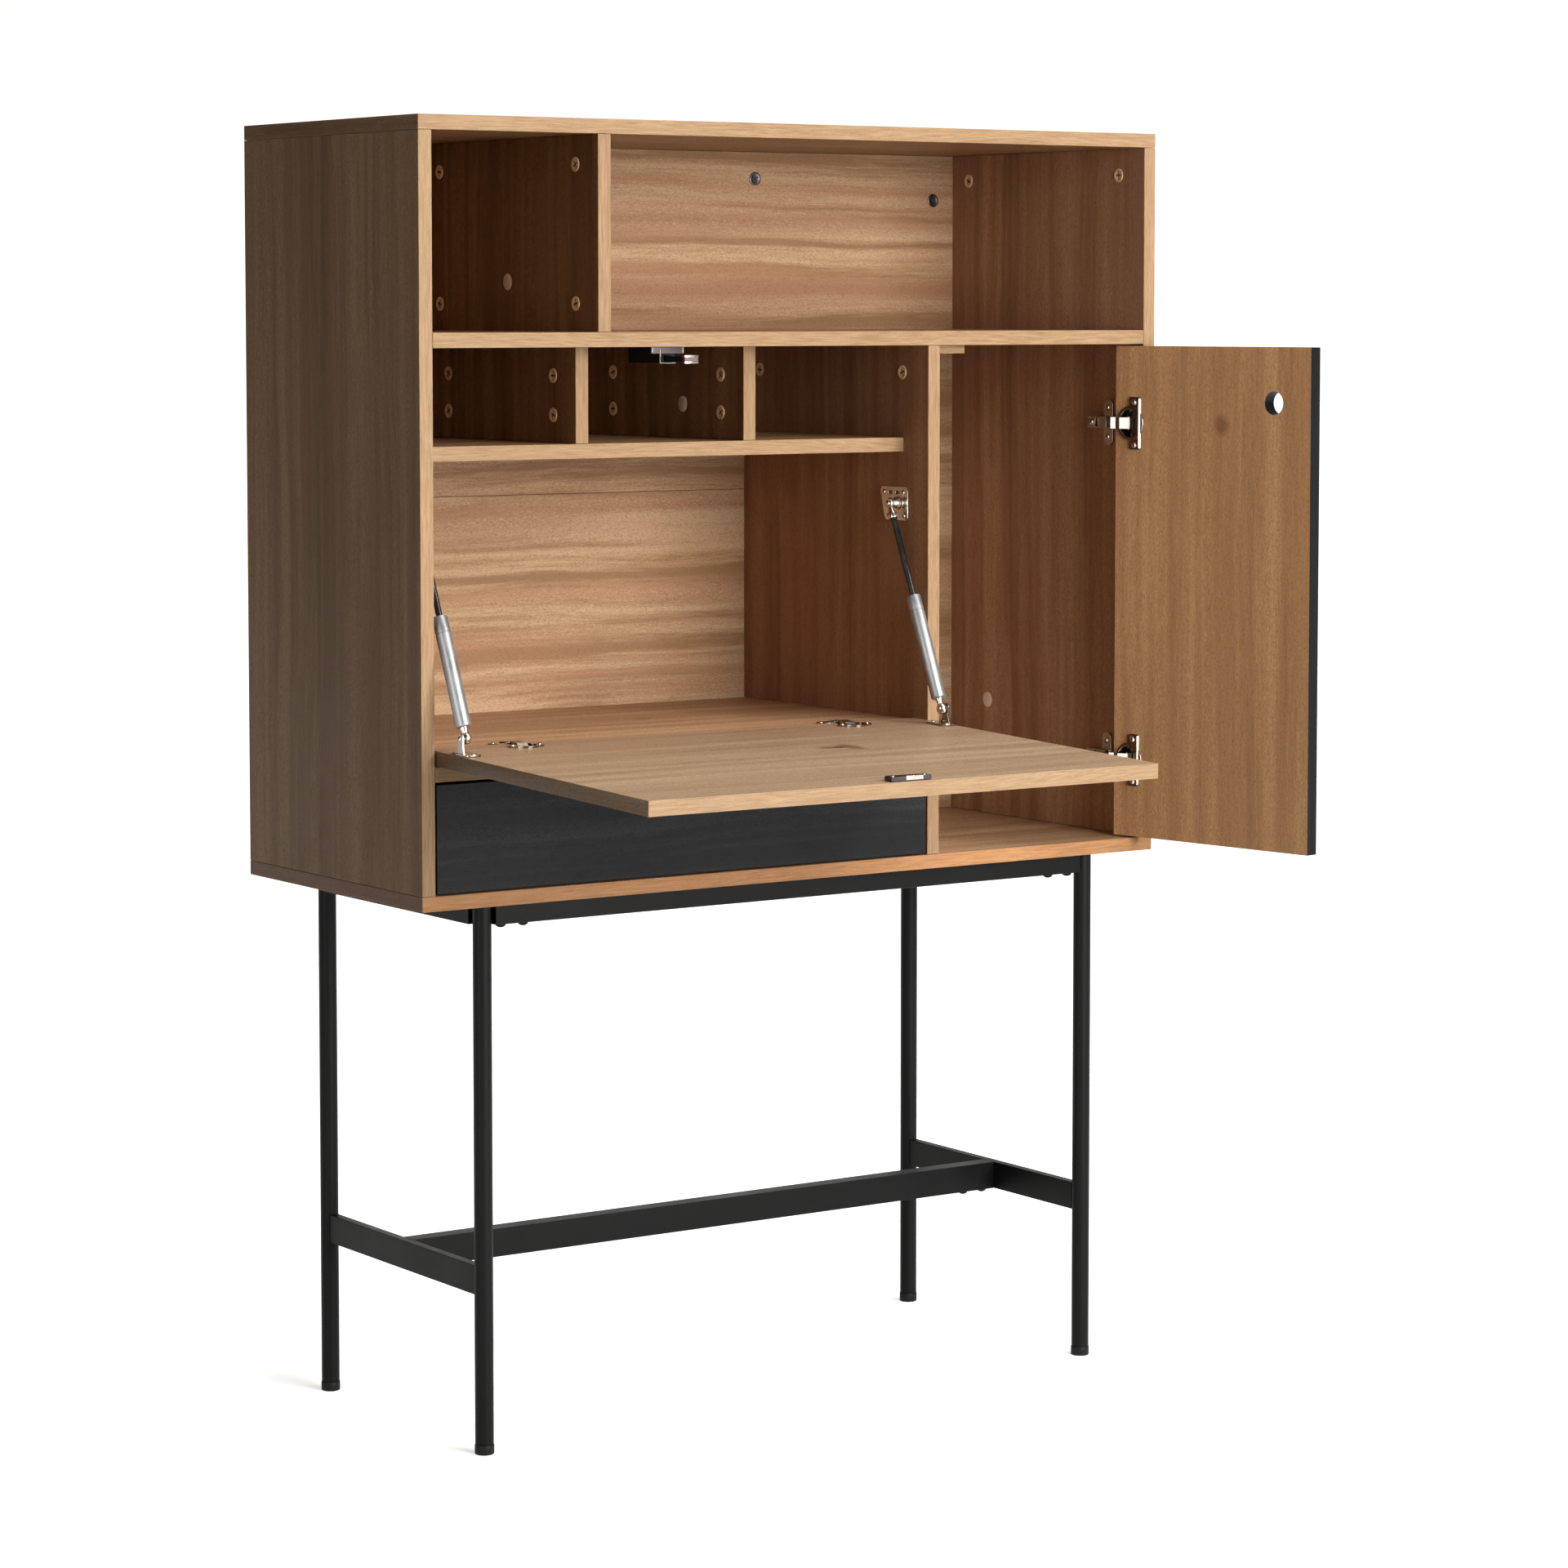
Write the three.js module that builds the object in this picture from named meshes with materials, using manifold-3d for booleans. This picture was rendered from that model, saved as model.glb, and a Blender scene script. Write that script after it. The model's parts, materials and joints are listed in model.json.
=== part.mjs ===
// Secretary desk: an open-fronted wooden cabinet on a slender steel leg frame.
// The cabinet has a row of bays at the top, a drop-down writing flap on two gas struts over a drawer,
// and a tall cupboard with a side-hung door at the right.
// Millimetres, +Z up, the front faces -Y. The origin is on the floor, under the middle of the object
// as it stands with its flap down, its door open and its drawer shut.
import * as THREE from "three";
import { mergeVertices } from "three/addons/utils/BufferGeometryUtils.js";
import Module from "manifold-3d";

// ---------------------------------------------------------------- driving dimensions
const WIDTH = 920;
const DEPTH = 365;
const HEIGHT = 1340;
const CABINET_BASE = 557; // height of the cabinet's underside above the floor
const PANEL = 15; // thickness of every main panel
const GAP = 0.3; // clearance between two separate solids

const SHELF_TOP = 1127; // full-width shelf under the top bays
const PARTITION_LEFT = 155; // left face of the upright between the desk bay and the cupboard
const TOP_DIVIDER_LEFT = -254;
const PIGEONHOLE_TOP = 1014; // top face of the pigeonhole shelf
const PIGEONHOLE_SETBACK = 44; // from the front plane
const PIGEONHOLE_DIVIDERS = [-254, -50]; // left faces
const DESK_TOP = 715; // fixed writing surface
const DESK_SETBACK = 21.5; // front edge of the fixed writing surface, from the front plane
const RAIL_TOP = 700; // panel over the drawer, flush with the front plane
const BACK_SEAM = 949; // height of the joint between the two back panels

const REVEAL = 2; // gap round the drawer front
const DRAWER_TOP = 682.5;
const DRAWER_DEPTH = 300;
const DRAWER_SIDE = 12; // thickness of the drawer's sides and back
const DRAWER_BOX = [584, 664]; // bottom and top of the drawer's sides
const DRAWER_BOTTOM = [590, 596]; // underside and top face of its bottom panel
const SLIDE_ROOM = 15; // room for a slide on each side of the drawer box
const SLIDE = { setback: 22, length: 290 }; // y from the front plane
const SLIDE_FIXED = { thickness: 6.5, z: [612, 636] };
const SLIDE_MOVING = { near: 7, far: 14.5, z: [614, 634] }; // from the wall beside it

const FLAP_REVEAL = 1.5; // gap beside the flap
const FLAP_PIVOT = { y: 10, z: 711.5 }; // y from the front plane
const FLAP_SHUT = [702, 1110]; // bottom and top edge of the shut flap
const FLAP_CORNER = 11.1; // radius about the pivot that its lower edge is relieved to
const FLAP_OPEN = THREE.MathUtils.degToRad(92); // turn from shut to its rest on the struts

const DOOR_REVEAL = 1.5;
const DOOR_PIVOT = { x: 431.1, y: 10.5 }; // y from the front plane
const DOOR_HEIGHT = [574, 1110]; // bottom and top edge
const DOOR_CORNER = 13.6; // radius about the pivot that its hinge edge is relieved to
const DOOR_OPEN = THREE.MathUtils.degToRad(100);
const FINGER_HOLE = { x: 221.4, z: 1050.8, diameter: 25 };
const DOOR_HINGES = [658, 1026]; // heights of the two hinges
const DOOR_CUP = { x: 422, radius: 17.2, depth: 11, flange: 1.6, wall: 2 };
const DOOR_EARS = { toward: 18, away: 5, half: 28, corner: 6 }; // about the cup's centre
const DOOR_LINK = { from: -9, to: 9.4, height: 4.6, half: 6.5 };
const DOOR_WING = { y: [50.5, 66.5], half: 25, corner: 6, thickness: 2 }; // y from the front plane
const DOOR_ARM = { y: [26, 84], height: 12, half: 6.5 };
const DOOR_ARM_TIP = { x: [418, 424.8], y: [23.2, 31] }; // cranked end that the link meets
const DOOR_STOP = { x: [2, 44], y: [15.8, 33.8], bottom: 1103 }; // from the partition and the front plane

const FLAP_HINGES = [-345, 55]; // x of the two flap hinges
const FLAP_CUP = { up: 17, radius: 12.7, depth: 10, wall: 2 }; // centre above the pivot on the shut flap
const HINGE_PLATE = { half: 20, halfWidth: 8.8, corner: 8, thickness: 2 }; // both plates of a flap hinge
const FLAP_LINK = { half: 7, from: -7, to: 11, height: 2.7 };
const DESK_PLATE = { setback: 31.5, nose: [22, 36], noseHeight: 3.2 }; // y from the front plane
const STRIKE = { half: 23.5, thickness: 4.6, below: [3, 15] }; // below the shut flap's free edge

// Touch latch, y from the front plane. The plunger stands out while the flap is down.
const LATCH_BODY = { half: 9.5, y: [41, 103], bottom: 1094.8 };
const LATCH_EARS = { half: 20, depth: 3, bottom: 1104.6 };
const LATCH_POCKET = { half: 4.6, back: 98, z: [1096, 1102.4] };
const LATCH_STEM = { half: 4, back: 64, z: [1096.4, 1102] };
const LATCH_HEAD = { half: 8.7, y: [-4, 1], z: [1095, 1103.4] };

const STRUT_INSET = 12; // strut's centre plane from the wall beside it
const STRUT_FOOT = { out: 22, up: 50 }; // foot pivot from the flap pivot, on the shut flap
const STRUT_HEAD = { y: 52.5, z: 944 }; // head pivot on the wall, y from the front plane
const STRUT_TUBE = { radius: 7.75, neck: 4, shoulder: [11, 14.5], end: 126.5 };
const STRUT_GROOVE = { heights: [121, 122, 123.5, 124.3], depth: 0.6 }; // near the tube's upper end
const STRUT_ROD = { radius: 3.3, from: 112, fitting: 4.6, fittingLength: 15 };
const STRUT_BORE = { radius: 4, from: 56 }; // the tube is open from here to its upper end
const STRUT_EYE = { radius: 6, half: 2.5, clearance: 3 };
const STRUT_PIN = { radius: 3.5, inward: 4.5, outward: 4.7 };
const STRUT_WALL_PLATE = { thickness: 2, y: [34, 37, 73, 76, 81, 84], z: [925.5, 928, 957, 961.5] };
const STRUT_BRACKET = { span: [-9, 8.5], half: 17, corner: 3, thickness: 2 };
const STRUT_EAR = { span: [5, 7.5], root: 8, waist: 6.5 }; // upright ear on the bracket

const LEG_INSET = { side: 80, end: 21 }; // leg axis from the cabinet's sides and from front and back
const LEG_RADIUS = 9.5;
const FOOT = { radius: 10.2, height: 10 };
const FRAME_BAR = 20; // square tube under the cabinet
const STRETCHER = { bottom: 161, top: 191, side: 10, long: 20 };
const TUBE_WALL = 1.5;

// ---------------------------------------------------------------- derived positions
const half = WIDTH / 2;
const front = -DEPTH / 2;
const inner = half - PANEL; // inner face of the side panels
const floorTop = CABINET_BASE + PANEL; // top face of the bottom panel
const ceiling = HEIGHT - PANEL; // underside of the top panel
const shelfUnder = SHELF_TOP - PANEL;
const backFace = -front - PANEL; // inner face of the back panels
const cupboardLeft = PARTITION_LEFT + PANEL;

const wasm = await Module();
wasm.setup();

// ---------------------------------------------------------------- materials
function finish(color, roughness, metalness) {
  return new THREE.MeshStandardMaterial({ color, roughness, metalness });
}
const oak = () => finish(0xc9a276, 0.6, 0);
const blackOak = () => finish(0x26272a, 0.55, 0);
const blackSteel = () => finish(0x1b1c1e, 0.45, 0.3);
const blackPlastic = () => finish(0x17171a, 0.5, 0);
const nickel = () => finish(0xb4aea6, 0.3, 1);
const greyAluminium = () => finish(0xa9abad, 0.4, 0.8);

// ---------------------------------------------------------------- geometry helpers
function box(x0, x1, y0, y1, z0, z1) {
  const geometry = new THREE.BoxGeometry(x1 - x0, y1 - y0, z1 - z0);
  return geometry.translate((x0 + x1) / 2, (y0 + y1) / 2, (z0 + z1) / 2);
}

// Two coordinates in rising order.
const ordered = (a, b) => [Math.min(a, b), Math.max(a, b)];

// A pair of coordinates that is measured from a datum.
const shifted = (pair, datum) => [pair[0] + datum, pair[1] + datum];

// A cylinder along an axis from one coordinate to another, centred on the other two coordinates.
function rod(axis, radius, from, to, first, second, segments = 32) {
  const geometry = new THREE.CylinderGeometry(radius, radius, to - from, segments);
  const middle = (from + to) / 2;
  if (axis === "x") return geometry.rotateZ(Math.PI / 2).translate(middle, first, second);
  if (axis === "y") return geometry.translate(first, middle, second);
  return geometry.rotateX(Math.PI / 2).translate(first, second, middle);
}

// A flat outline in Y and Z, given thickness along X.
function slabYZ(shape, x0, x1, curveSegments = 12) {
  const geometry = new THREE.ExtrudeGeometry(shape, { depth: x1 - x0, bevelEnabled: false, curveSegments });
  const turn = new THREE.Matrix4().makeBasis(
    new THREE.Vector3(0, 1, 0),
    new THREE.Vector3(0, 0, 1),
    new THREE.Vector3(1, 0, 0),
  );
  return geometry.applyMatrix4(turn).translate(x0, 0, 0);
}

// A flat outline in X and Z, given thickness along Y.
function slabXZ(shape, y0, y1, curveSegments = 12) {
  const geometry = new THREE.ExtrudeGeometry(shape, { depth: y1 - y0, bevelEnabled: false, curveSegments });
  return geometry.rotateX(Math.PI / 2).translate(0, y1, 0);
}

// A flat outline in X and Y, given height along Z.
function slabXY(shape, z0, z1, curveSegments = 12) {
  const geometry = new THREE.ExtrudeGeometry(shape, { depth: z1 - z0, bevelEnabled: false, curveSegments });
  return geometry.translate(0, 0, z0);
}

// A body turned about Z, from points of radius and height.
function turned(points, segments = 32) {
  const profile = points.map(([radius, height]) => new THREE.Vector2(radius, height));
  return new THREE.LatheGeometry(profile, segments).rotateX(Math.PI / 2);
}

function outline(points) {
  return new THREE.Shape(points.map(([u, v]) => new THREE.Vector2(u, v)));
}

function roundedRectangle(u0, u1, v0, v1, radius) {
  const shape = new THREE.Shape();
  shape.moveTo(u0 + radius, v0);
  shape.lineTo(u1 - radius, v0);
  shape.absarc(u1 - radius, v0 + radius, radius, -Math.PI / 2, 0);
  shape.lineTo(u1, v1 - radius);
  shape.absarc(u1 - radius, v1 - radius, radius, 0, Math.PI / 2);
  shape.lineTo(u0 + radius, v1);
  shape.absarc(u0 + radius, v1 - radius, radius, Math.PI / 2, Math.PI);
  shape.lineTo(u0, v0 + radius);
  shape.absarc(u0 + radius, v0 + radius, radius, Math.PI, Math.PI * 1.5);
  return shape;
}

// Points on an arc about the origin, both ends included.
function arcPoints(radius, from, to, steps = 6) {
  const points = [];
  for (let i = 0; i <= steps; i += 1) {
    const angle = from + ((to - from) * i) / steps;
    points.push([radius * Math.cos(angle), radius * Math.sin(angle)]);
  }
  return points;
}

function solidFrom(geometry) {
  const bare = geometry.clone();
  bare.deleteAttribute("normal");
  bare.deleteAttribute("uv");
  const merged = mergeVertices(bare, 1e-4);
  const vertProperties = new Float32Array(merged.attributes.position.array);
  const triVerts = new Uint32Array(merged.index.array);
  return new wasm.Manifold(new wasm.Mesh({ numProp: 3, vertProperties, triVerts }));
}

function geometryFrom(solid) {
  const mesh = solid.getMesh();
  const geometry = new THREE.BufferGeometry();
  geometry.setAttribute("position", new THREE.BufferAttribute(new Float32Array(mesh.vertProperties), 3));
  geometry.setIndex(new THREE.BufferAttribute(new Uint32Array(mesh.triVerts), 1));
  const flat = geometry.toNonIndexed();
  flat.computeVertexNormals();
  return flat;
}

function join(first, ...others) {
  return geometryFrom(others.reduce((solid, other) => solid.add(solidFrom(other)), solidFrom(first)));
}

function cut(first, ...tools) {
  return geometryFrom(tools.reduce((solid, tool) => solid.subtract(solidFrom(tool)), solidFrom(first)));
}

// ---------------------------------------------------------------- assembly
const desk = new THREE.Group();

function add(parent, name, geometry, material) {
  const mesh = new THREE.Mesh(geometry, material);
  mesh.name = name;
  parent.add(mesh);
  return mesh;
}

// Cabinet: top and bottom run over the sides, everything else stands between them.
const between = { left: -inner + GAP, right: inner - GAP };
const depthOf = (setback) => [front + setback, backFace - GAP];

add(desk, "top_panel", box(-half, half, front, -front, ceiling, HEIGHT), oak());
add(desk, "bottom_panel", box(-half, half, front, -front, CABINET_BASE, floorTop), oak());
for (const [name, x] of [["side_panel_left", -half], ["side_panel_right", inner]]) {
  add(desk, name, box(x, x + PANEL, front, -front, floorTop + GAP, ceiling - GAP), oak());
}
add(
  desk,
  "back_panel_upper",
  box(between.left, between.right, backFace, -front, BACK_SEAM + GAP, ceiling - GAP),
  oak(),
);
add(
  desk,
  "back_panel_lower",
  box(between.left, between.right, backFace, -front, floorTop + GAP, BACK_SEAM),
  oak(),
);
add(desk, "main_shelf", box(between.left, between.right, ...depthOf(0), shelfUnder, SHELF_TOP), oak());
add(
  desk,
  "centre_partition",
  box(PARTITION_LEFT, cupboardLeft, ...depthOf(0), floorTop + GAP, shelfUnder - GAP),
  oak(),
);
add(
  desk,
  "top_bay_divider",
  box(TOP_DIVIDER_LEFT, TOP_DIVIDER_LEFT + PANEL, ...depthOf(0), SHELF_TOP + GAP, ceiling - GAP),
  oak(),
);
const bayRight = PARTITION_LEFT - GAP;
add(
  desk,
  "pigeonhole_shelf",
  box(between.left, bayRight, ...depthOf(PIGEONHOLE_SETBACK), PIGEONHOLE_TOP - PANEL, PIGEONHOLE_TOP),
  oak(),
);
PIGEONHOLE_DIVIDERS.forEach((x, i) => {
  const name = `pigeonhole_divider_${["left", "right"][i]}`;
  const [y0, y1] = depthOf(PIGEONHOLE_SETBACK);
  add(desk, name, box(x, x + PANEL, y0, y1, PIGEONHOLE_TOP + GAP, shelfUnder - GAP), oak());
});
add(
  desk,
  "desk_surface",
  box(between.left, bayRight, ...depthOf(DESK_SETBACK), RAIL_TOP + GAP, DESK_TOP),
  oak(),
);
add(
  desk,
  "drawer_bay_top",
  box(between.left, bayRight, ...depthOf(0), RAIL_TOP - PANEL, RAIL_TOP),
  oak(),
);
add(
  desk,
  "door_stop_block",
  box(
    ...shifted(DOOR_STOP.x, cupboardLeft),
    ...shifted(DOOR_STOP.y, front),
    DOOR_STOP.bottom,
    shelfUnder - GAP,
  ),
  oak(),
);

// Drawer: a flush front on a box that runs between two side-mounted slides.
const drawer = new THREE.Group();
desk.add(drawer);
const drawerBack = front + PANEL + GAP + DRAWER_DEPTH;
const boxLeft = -inner + SLIDE_ROOM;
const boxRight = PARTITION_LEFT - SLIDE_ROOM;
add(
  drawer,
  "drawer_front",
  box(-inner + REVEAL, PARTITION_LEFT - REVEAL, front, front + PANEL, floorTop + REVEAL, DRAWER_TOP),
  blackOak(),
);
for (const [name, x] of [["drawer_side_left", boxLeft], ["drawer_side_right", boxRight - DRAWER_SIDE]]) {
  add(drawer, name, box(x, x + DRAWER_SIDE, front + PANEL + GAP, drawerBack, ...DRAWER_BOX), oak());
}
const trayLeft = boxLeft + DRAWER_SIDE + GAP;
const trayRight = boxRight - DRAWER_SIDE - GAP;
add(
  drawer,
  "drawer_back",
  box(trayLeft, trayRight, drawerBack - DRAWER_SIDE, drawerBack, ...DRAWER_BOX),
  oak(),
);
add(
  drawer,
  "drawer_bottom",
  box(trayLeft, trayRight, front + PANEL + GAP, drawerBack - DRAWER_SIDE - GAP, ...DRAWER_BOTTOM),
  oak(),
);
// Each slide is a fixed rail on the cabinet and a moving one on the drawer's side.
for (const [side, wall, direction] of [["left", -inner, 1], ["right", PARTITION_LEFT, -1]]) {
  const rail = ordered(wall + direction * GAP, wall + direction * SLIDE_FIXED.thickness);
  const slide = ordered(wall + direction * SLIDE_MOVING.near, wall + direction * SLIDE_MOVING.far);
  const run = [front + SLIDE.setback, front + SLIDE.setback + SLIDE.length];
  add(desk, `drawer_rail_${side}`, box(...rail, ...run, ...SLIDE_FIXED.z), nickel());
  add(drawer, `drawer_slide_${side}`, box(...slide, ...run, ...SLIDE_MOVING.z), nickel());
}

// Writing flap, drawn shut about its pivot and turned down to its rest.
const flap = new THREE.Group();
flap.position.set(0, front + FLAP_PIVOT.y, FLAP_PIVOT.z);
flap.rotation.x = FLAP_OPEN;
desk.add(flap);
const flapOut = -FLAP_PIVOT.y;
const flapIn = PANEL - FLAP_PIVOT.y;
const flapLow = FLAP_SHUT[0] - FLAP_PIVOT.z;
const flapHigh = FLAP_SHUT[1] - FLAP_PIVOT.z;
const reliefFrom = Math.PI + Math.acos(-flapOut / FLAP_CORNER);
const reliefTo = Math.PI + Math.asin(-flapLow / FLAP_CORNER);
const flapProfile = outline([
  ...arcPoints(FLAP_CORNER, reliefFrom, reliefTo),
  [flapIn, flapLow],
  [flapIn, flapHigh],
  [flapOut, flapHigh],
]);
const cupPockets = FLAP_HINGES.map((x) =>
  rod("y", FLAP_CUP.radius + GAP, flapIn - FLAP_CUP.depth - GAP, flapIn + 5, x, FLAP_CUP.up),
);
add(
  flap,
  "flap_panel",
  cut(slabYZ(flapProfile, -inner + FLAP_REVEAL, PARTITION_LEFT - FLAP_REVEAL), ...cupPockets),
  oak(),
);

// Flap hinges: an eared cup let into the flap and a low plate on the fixed surface.
FLAP_HINGES.forEach((x, i) => {
  const side = ["left", "right"][i];
  const face = flapIn + GAP;
  const pocketFloor = flapIn - FLAP_CUP.depth;
  const { half: plateHalf, halfWidth, corner, thickness } = HINGE_PLATE;
  const earOutline = roundedRectangle(
    x - plateHalf,
    x + plateHalf,
    FLAP_CUP.up - halfWidth,
    FLAP_CUP.up + halfWidth,
    corner,
  );
  const ears = slabXZ(earOutline, face, face + thickness, 4);
  const cup = rod("y", FLAP_CUP.radius, pocketFloor, face + thickness, x, FLAP_CUP.up);
  const hollowRadius = FLAP_CUP.radius - FLAP_CUP.wall;
  const hollow = rod("y", hollowRadius, pocketFloor + FLAP_CUP.wall, face + 2 * thickness, x, FLAP_CUP.up);
  const link = box(
    x - FLAP_LINK.half,
    x + FLAP_LINK.half,
    face,
    face + FLAP_LINK.height,
    FLAP_LINK.from,
    FLAP_LINK.to,
  );
  add(flap, `flap_hinge_cup_${side}`, join(cut(join(ears, cup), hollow), link), nickel());

  const deskFace = DESK_TOP + GAP;
  const plateY = front + DESK_PLATE.setback;
  const plateOutline = roundedRectangle(
    x - plateHalf,
    x + plateHalf,
    plateY - halfWidth,
    plateY + halfWidth,
    corner,
  );
  const plate = slabXY(plateOutline, deskFace, deskFace + thickness, 4);
  const nose = box(
    x - FLAP_LINK.half,
    x + FLAP_LINK.half,
    ...shifted(DESK_PLATE.nose, front),
    deskFace,
    deskFace + DESK_PLATE.noseHeight,
  );
  add(desk, `flap_hinge_plate_${side}`, join(plate, nose), nickel());
});

// Strike plate at the middle of the flap's free edge.
const flapMiddle = (PARTITION_LEFT - inner) / 2;
const strikeFace = flapIn + GAP;
const aboutMiddle = (reach) => [flapMiddle - reach, flapMiddle + reach];
add(
  flap,
  "flap_strike_plate",
  box(
    ...aboutMiddle(STRIKE.half),
    strikeFace,
    strikeFace + STRIKE.thickness,
    flapHigh - STRIKE.below[1],
    flapHigh - STRIKE.below[0],
  ),
  blackPlastic(),
);

// Touch latch under the shelf: an eared housing with a sprung plunger that carries a magnet head.
const latchTop = shelfUnder - GAP;
const latchFront = front + LATCH_BODY.y[0];
const latchBody = box(
  ...aboutMiddle(LATCH_BODY.half),
  ...shifted(LATCH_BODY.y, front),
  LATCH_BODY.bottom,
  latchTop,
);
const latchEars = box(
  ...aboutMiddle(LATCH_EARS.half),
  latchFront,
  latchFront + LATCH_EARS.depth,
  LATCH_EARS.bottom,
  latchTop,
);
const latchPocket = box(
  ...aboutMiddle(LATCH_POCKET.half),
  latchFront - 1,
  front + LATCH_POCKET.back,
  ...LATCH_POCKET.z,
);
add(desk, "latch_housing", cut(join(latchBody, latchEars), latchPocket), blackPlastic());
const latchHead = box(...aboutMiddle(LATCH_HEAD.half), ...shifted(LATCH_HEAD.y, front), ...LATCH_HEAD.z);
const latchStem = box(
  ...aboutMiddle(LATCH_STEM.half),
  front + LATCH_HEAD.y[0] + 1,
  front + LATCH_STEM.back,
  ...LATCH_STEM.z,
);
add(desk, "latch_plunger", join(latchStem, latchHead), nickel());

// Gas struts: the foot turns on an ear on the flap, the head carries its own pin close to a wall plate.
const footTurn = FLAP_OPEN;
const footY = FLAP_PIVOT.y + STRUT_FOOT.out * Math.cos(footTurn) - STRUT_FOOT.up * Math.sin(footTurn);
const footZ = FLAP_PIVOT.z + STRUT_FOOT.out * Math.sin(footTurn) + STRUT_FOOT.up * Math.cos(footTurn);
const strutLength = Math.hypot(STRUT_HEAD.y - footY, STRUT_HEAD.z - footZ);
const strutAngle = Math.atan2(STRUT_HEAD.z - footZ, STRUT_HEAD.y - footY);
const [plateY0, plateY1, plateY2, plateY3, plateY4, plateY5] = STRUT_WALL_PLATE.y.map((y) => front + y);
const [plateZ0, plateZ1, plateZ2, plateZ3] = STRUT_WALL_PLATE.z;
const wallPlate = outline([
  [plateY1, plateZ0],
  [plateY2, plateZ0],
  [plateY3, plateZ1],
  [plateY5, plateZ2],
  [plateY4, plateZ3],
  [plateY1, plateZ3],
  [plateY0, plateZ2],
  [plateY0, plateZ1],
]);

for (const [side, wall, outward] of [["left", -inner, -1], ["right", PARTITION_LEFT, 1]]) {
  const centre = wall - outward * STRUT_INSET;
  const span = (from, to) => ordered(centre + outward * from, centre + outward * to);
  const wallSide = STRUT_INSET - GAP;

  add(
    desk,
    `strut_wall_plate_${side}`,
    slabYZ(wallPlate, ...span(wallSide - STRUT_WALL_PLATE.thickness, wallSide)),
    nickel(),
  );

  const ear = new THREE.Shape();
  ear.moveTo(flapIn + 1, STRUT_FOOT.up - STRUT_EAR.root);
  ear.lineTo(STRUT_FOOT.out, STRUT_FOOT.up - STRUT_EAR.waist);
  ear.absarc(STRUT_FOOT.out, STRUT_FOOT.up, STRUT_EAR.waist, -Math.PI / 2, Math.PI / 2);
  ear.lineTo(flapIn + 1, STRUT_FOOT.up + STRUT_EAR.root);
  const footPlate = slabXZ(
    roundedRectangle(
      ...span(...STRUT_BRACKET.span),
      STRUT_FOOT.up - STRUT_BRACKET.half,
      STRUT_FOOT.up + STRUT_BRACKET.half,
      STRUT_BRACKET.corner,
    ),
    flapIn + GAP,
    flapIn + GAP + STRUT_BRACKET.thickness,
    3,
  );
  const footEar = slabYZ(ear, ...span(...STRUT_EAR.span), 10);
  add(flap, `strut_flap_bracket_${side}`, join(footPlate, footEar), nickel());

  const strut = new THREE.Group();
  strut.position.set(centre, front + footY, footZ);
  strut.rotation.x = strutAngle - Math.PI / 2;
  desk.add(strut);
  const across = (from, to) => ordered(outward * from, outward * to);
  const eyeSpan = across(-STRUT_EYE.half, STRUT_EYE.half);
  const eye = (height) => rod("x", STRUT_EYE.radius, ...eyeSpan, 0, height, 24);
  const pin = (height, end) => rod("x", STRUT_PIN.radius, ...across(-STRUT_PIN.inward, end), 0, height, 16);
  const [grooveFoot, grooveLow, grooveHigh, grooveHead] = STRUT_GROOVE.heights;
  const tubeBody = turned([
    [0, STRUT_EYE.clearance],
    [STRUT_TUBE.neck, STRUT_EYE.clearance],
    [STRUT_TUBE.neck, STRUT_TUBE.shoulder[0]],
    [STRUT_TUBE.radius - 1.2, STRUT_TUBE.shoulder[0] + 1.5],
    [STRUT_TUBE.radius, STRUT_TUBE.shoulder[1]],
    [STRUT_TUBE.radius, grooveFoot],
    [STRUT_TUBE.radius - STRUT_GROOVE.depth, grooveLow],
    [STRUT_TUBE.radius - STRUT_GROOVE.depth, grooveHigh],
    [STRUT_TUBE.radius - 0.2, grooveHead],
    [STRUT_TUBE.radius - 1.2, STRUT_TUBE.end],
    [STRUT_BORE.radius, STRUT_TUBE.end],
    [STRUT_BORE.radius, STRUT_BORE.from],
    [0, STRUT_BORE.from],
  ]);
  add(strut, `strut_tube_${side}`, join(tubeBody, eye(0), pin(0, STRUT_PIN.outward)), greyAluminium());

  const rodEnd = strutLength - STRUT_EYE.clearance;
  const pushRod = rod("z", STRUT_ROD.radius, STRUT_ROD.from, rodEnd, 0, 0, 24);
  const fitting = rod("z", STRUT_ROD.fitting, strutLength - STRUT_ROD.fittingLength, rodEnd, 0, 0, 24);
  const headPin = pin(strutLength, wallSide - STRUT_WALL_PLATE.thickness - GAP);
  add(strut, `strut_rod_${side}`, join(pushRod, fitting, eye(strutLength), headPin), blackSteel());
}

// Door, drawn shut about its pivot and turned to its open stop.
const door = new THREE.Group();
door.position.set(DOOR_PIVOT.x, front + DOOR_PIVOT.y, 0);
door.rotation.z = DOOR_OPEN;
desk.add(door);
const doorOut = -DOOR_PIVOT.y;
const doorIn = PANEL - DOOR_PIVOT.y;
const doorHinge = inner - DOOR_REVEAL - DOOR_PIVOT.x;
const doorFree = cupboardLeft + DOOR_REVEAL - DOOR_PIVOT.x;
const doorProfile = outline([
  [doorFree, doorOut],
  ...arcPoints(DOOR_CORNER, Math.asin(doorOut / DOOR_CORNER), -Math.acos(doorHinge / DOOR_CORNER)),
  [doorHinge, doorIn],
  [doorFree, doorIn],
]);
const cupX = DOOR_CUP.x - DOOR_PIVOT.x;
const doorCuts = DOOR_HINGES.map((z) =>
  rod("y", DOOR_CUP.radius + GAP, doorIn - DOOR_CUP.depth - GAP, doorIn + 5, cupX, z),
);
const holeX = FINGER_HOLE.x - DOOR_PIVOT.x;
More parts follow.
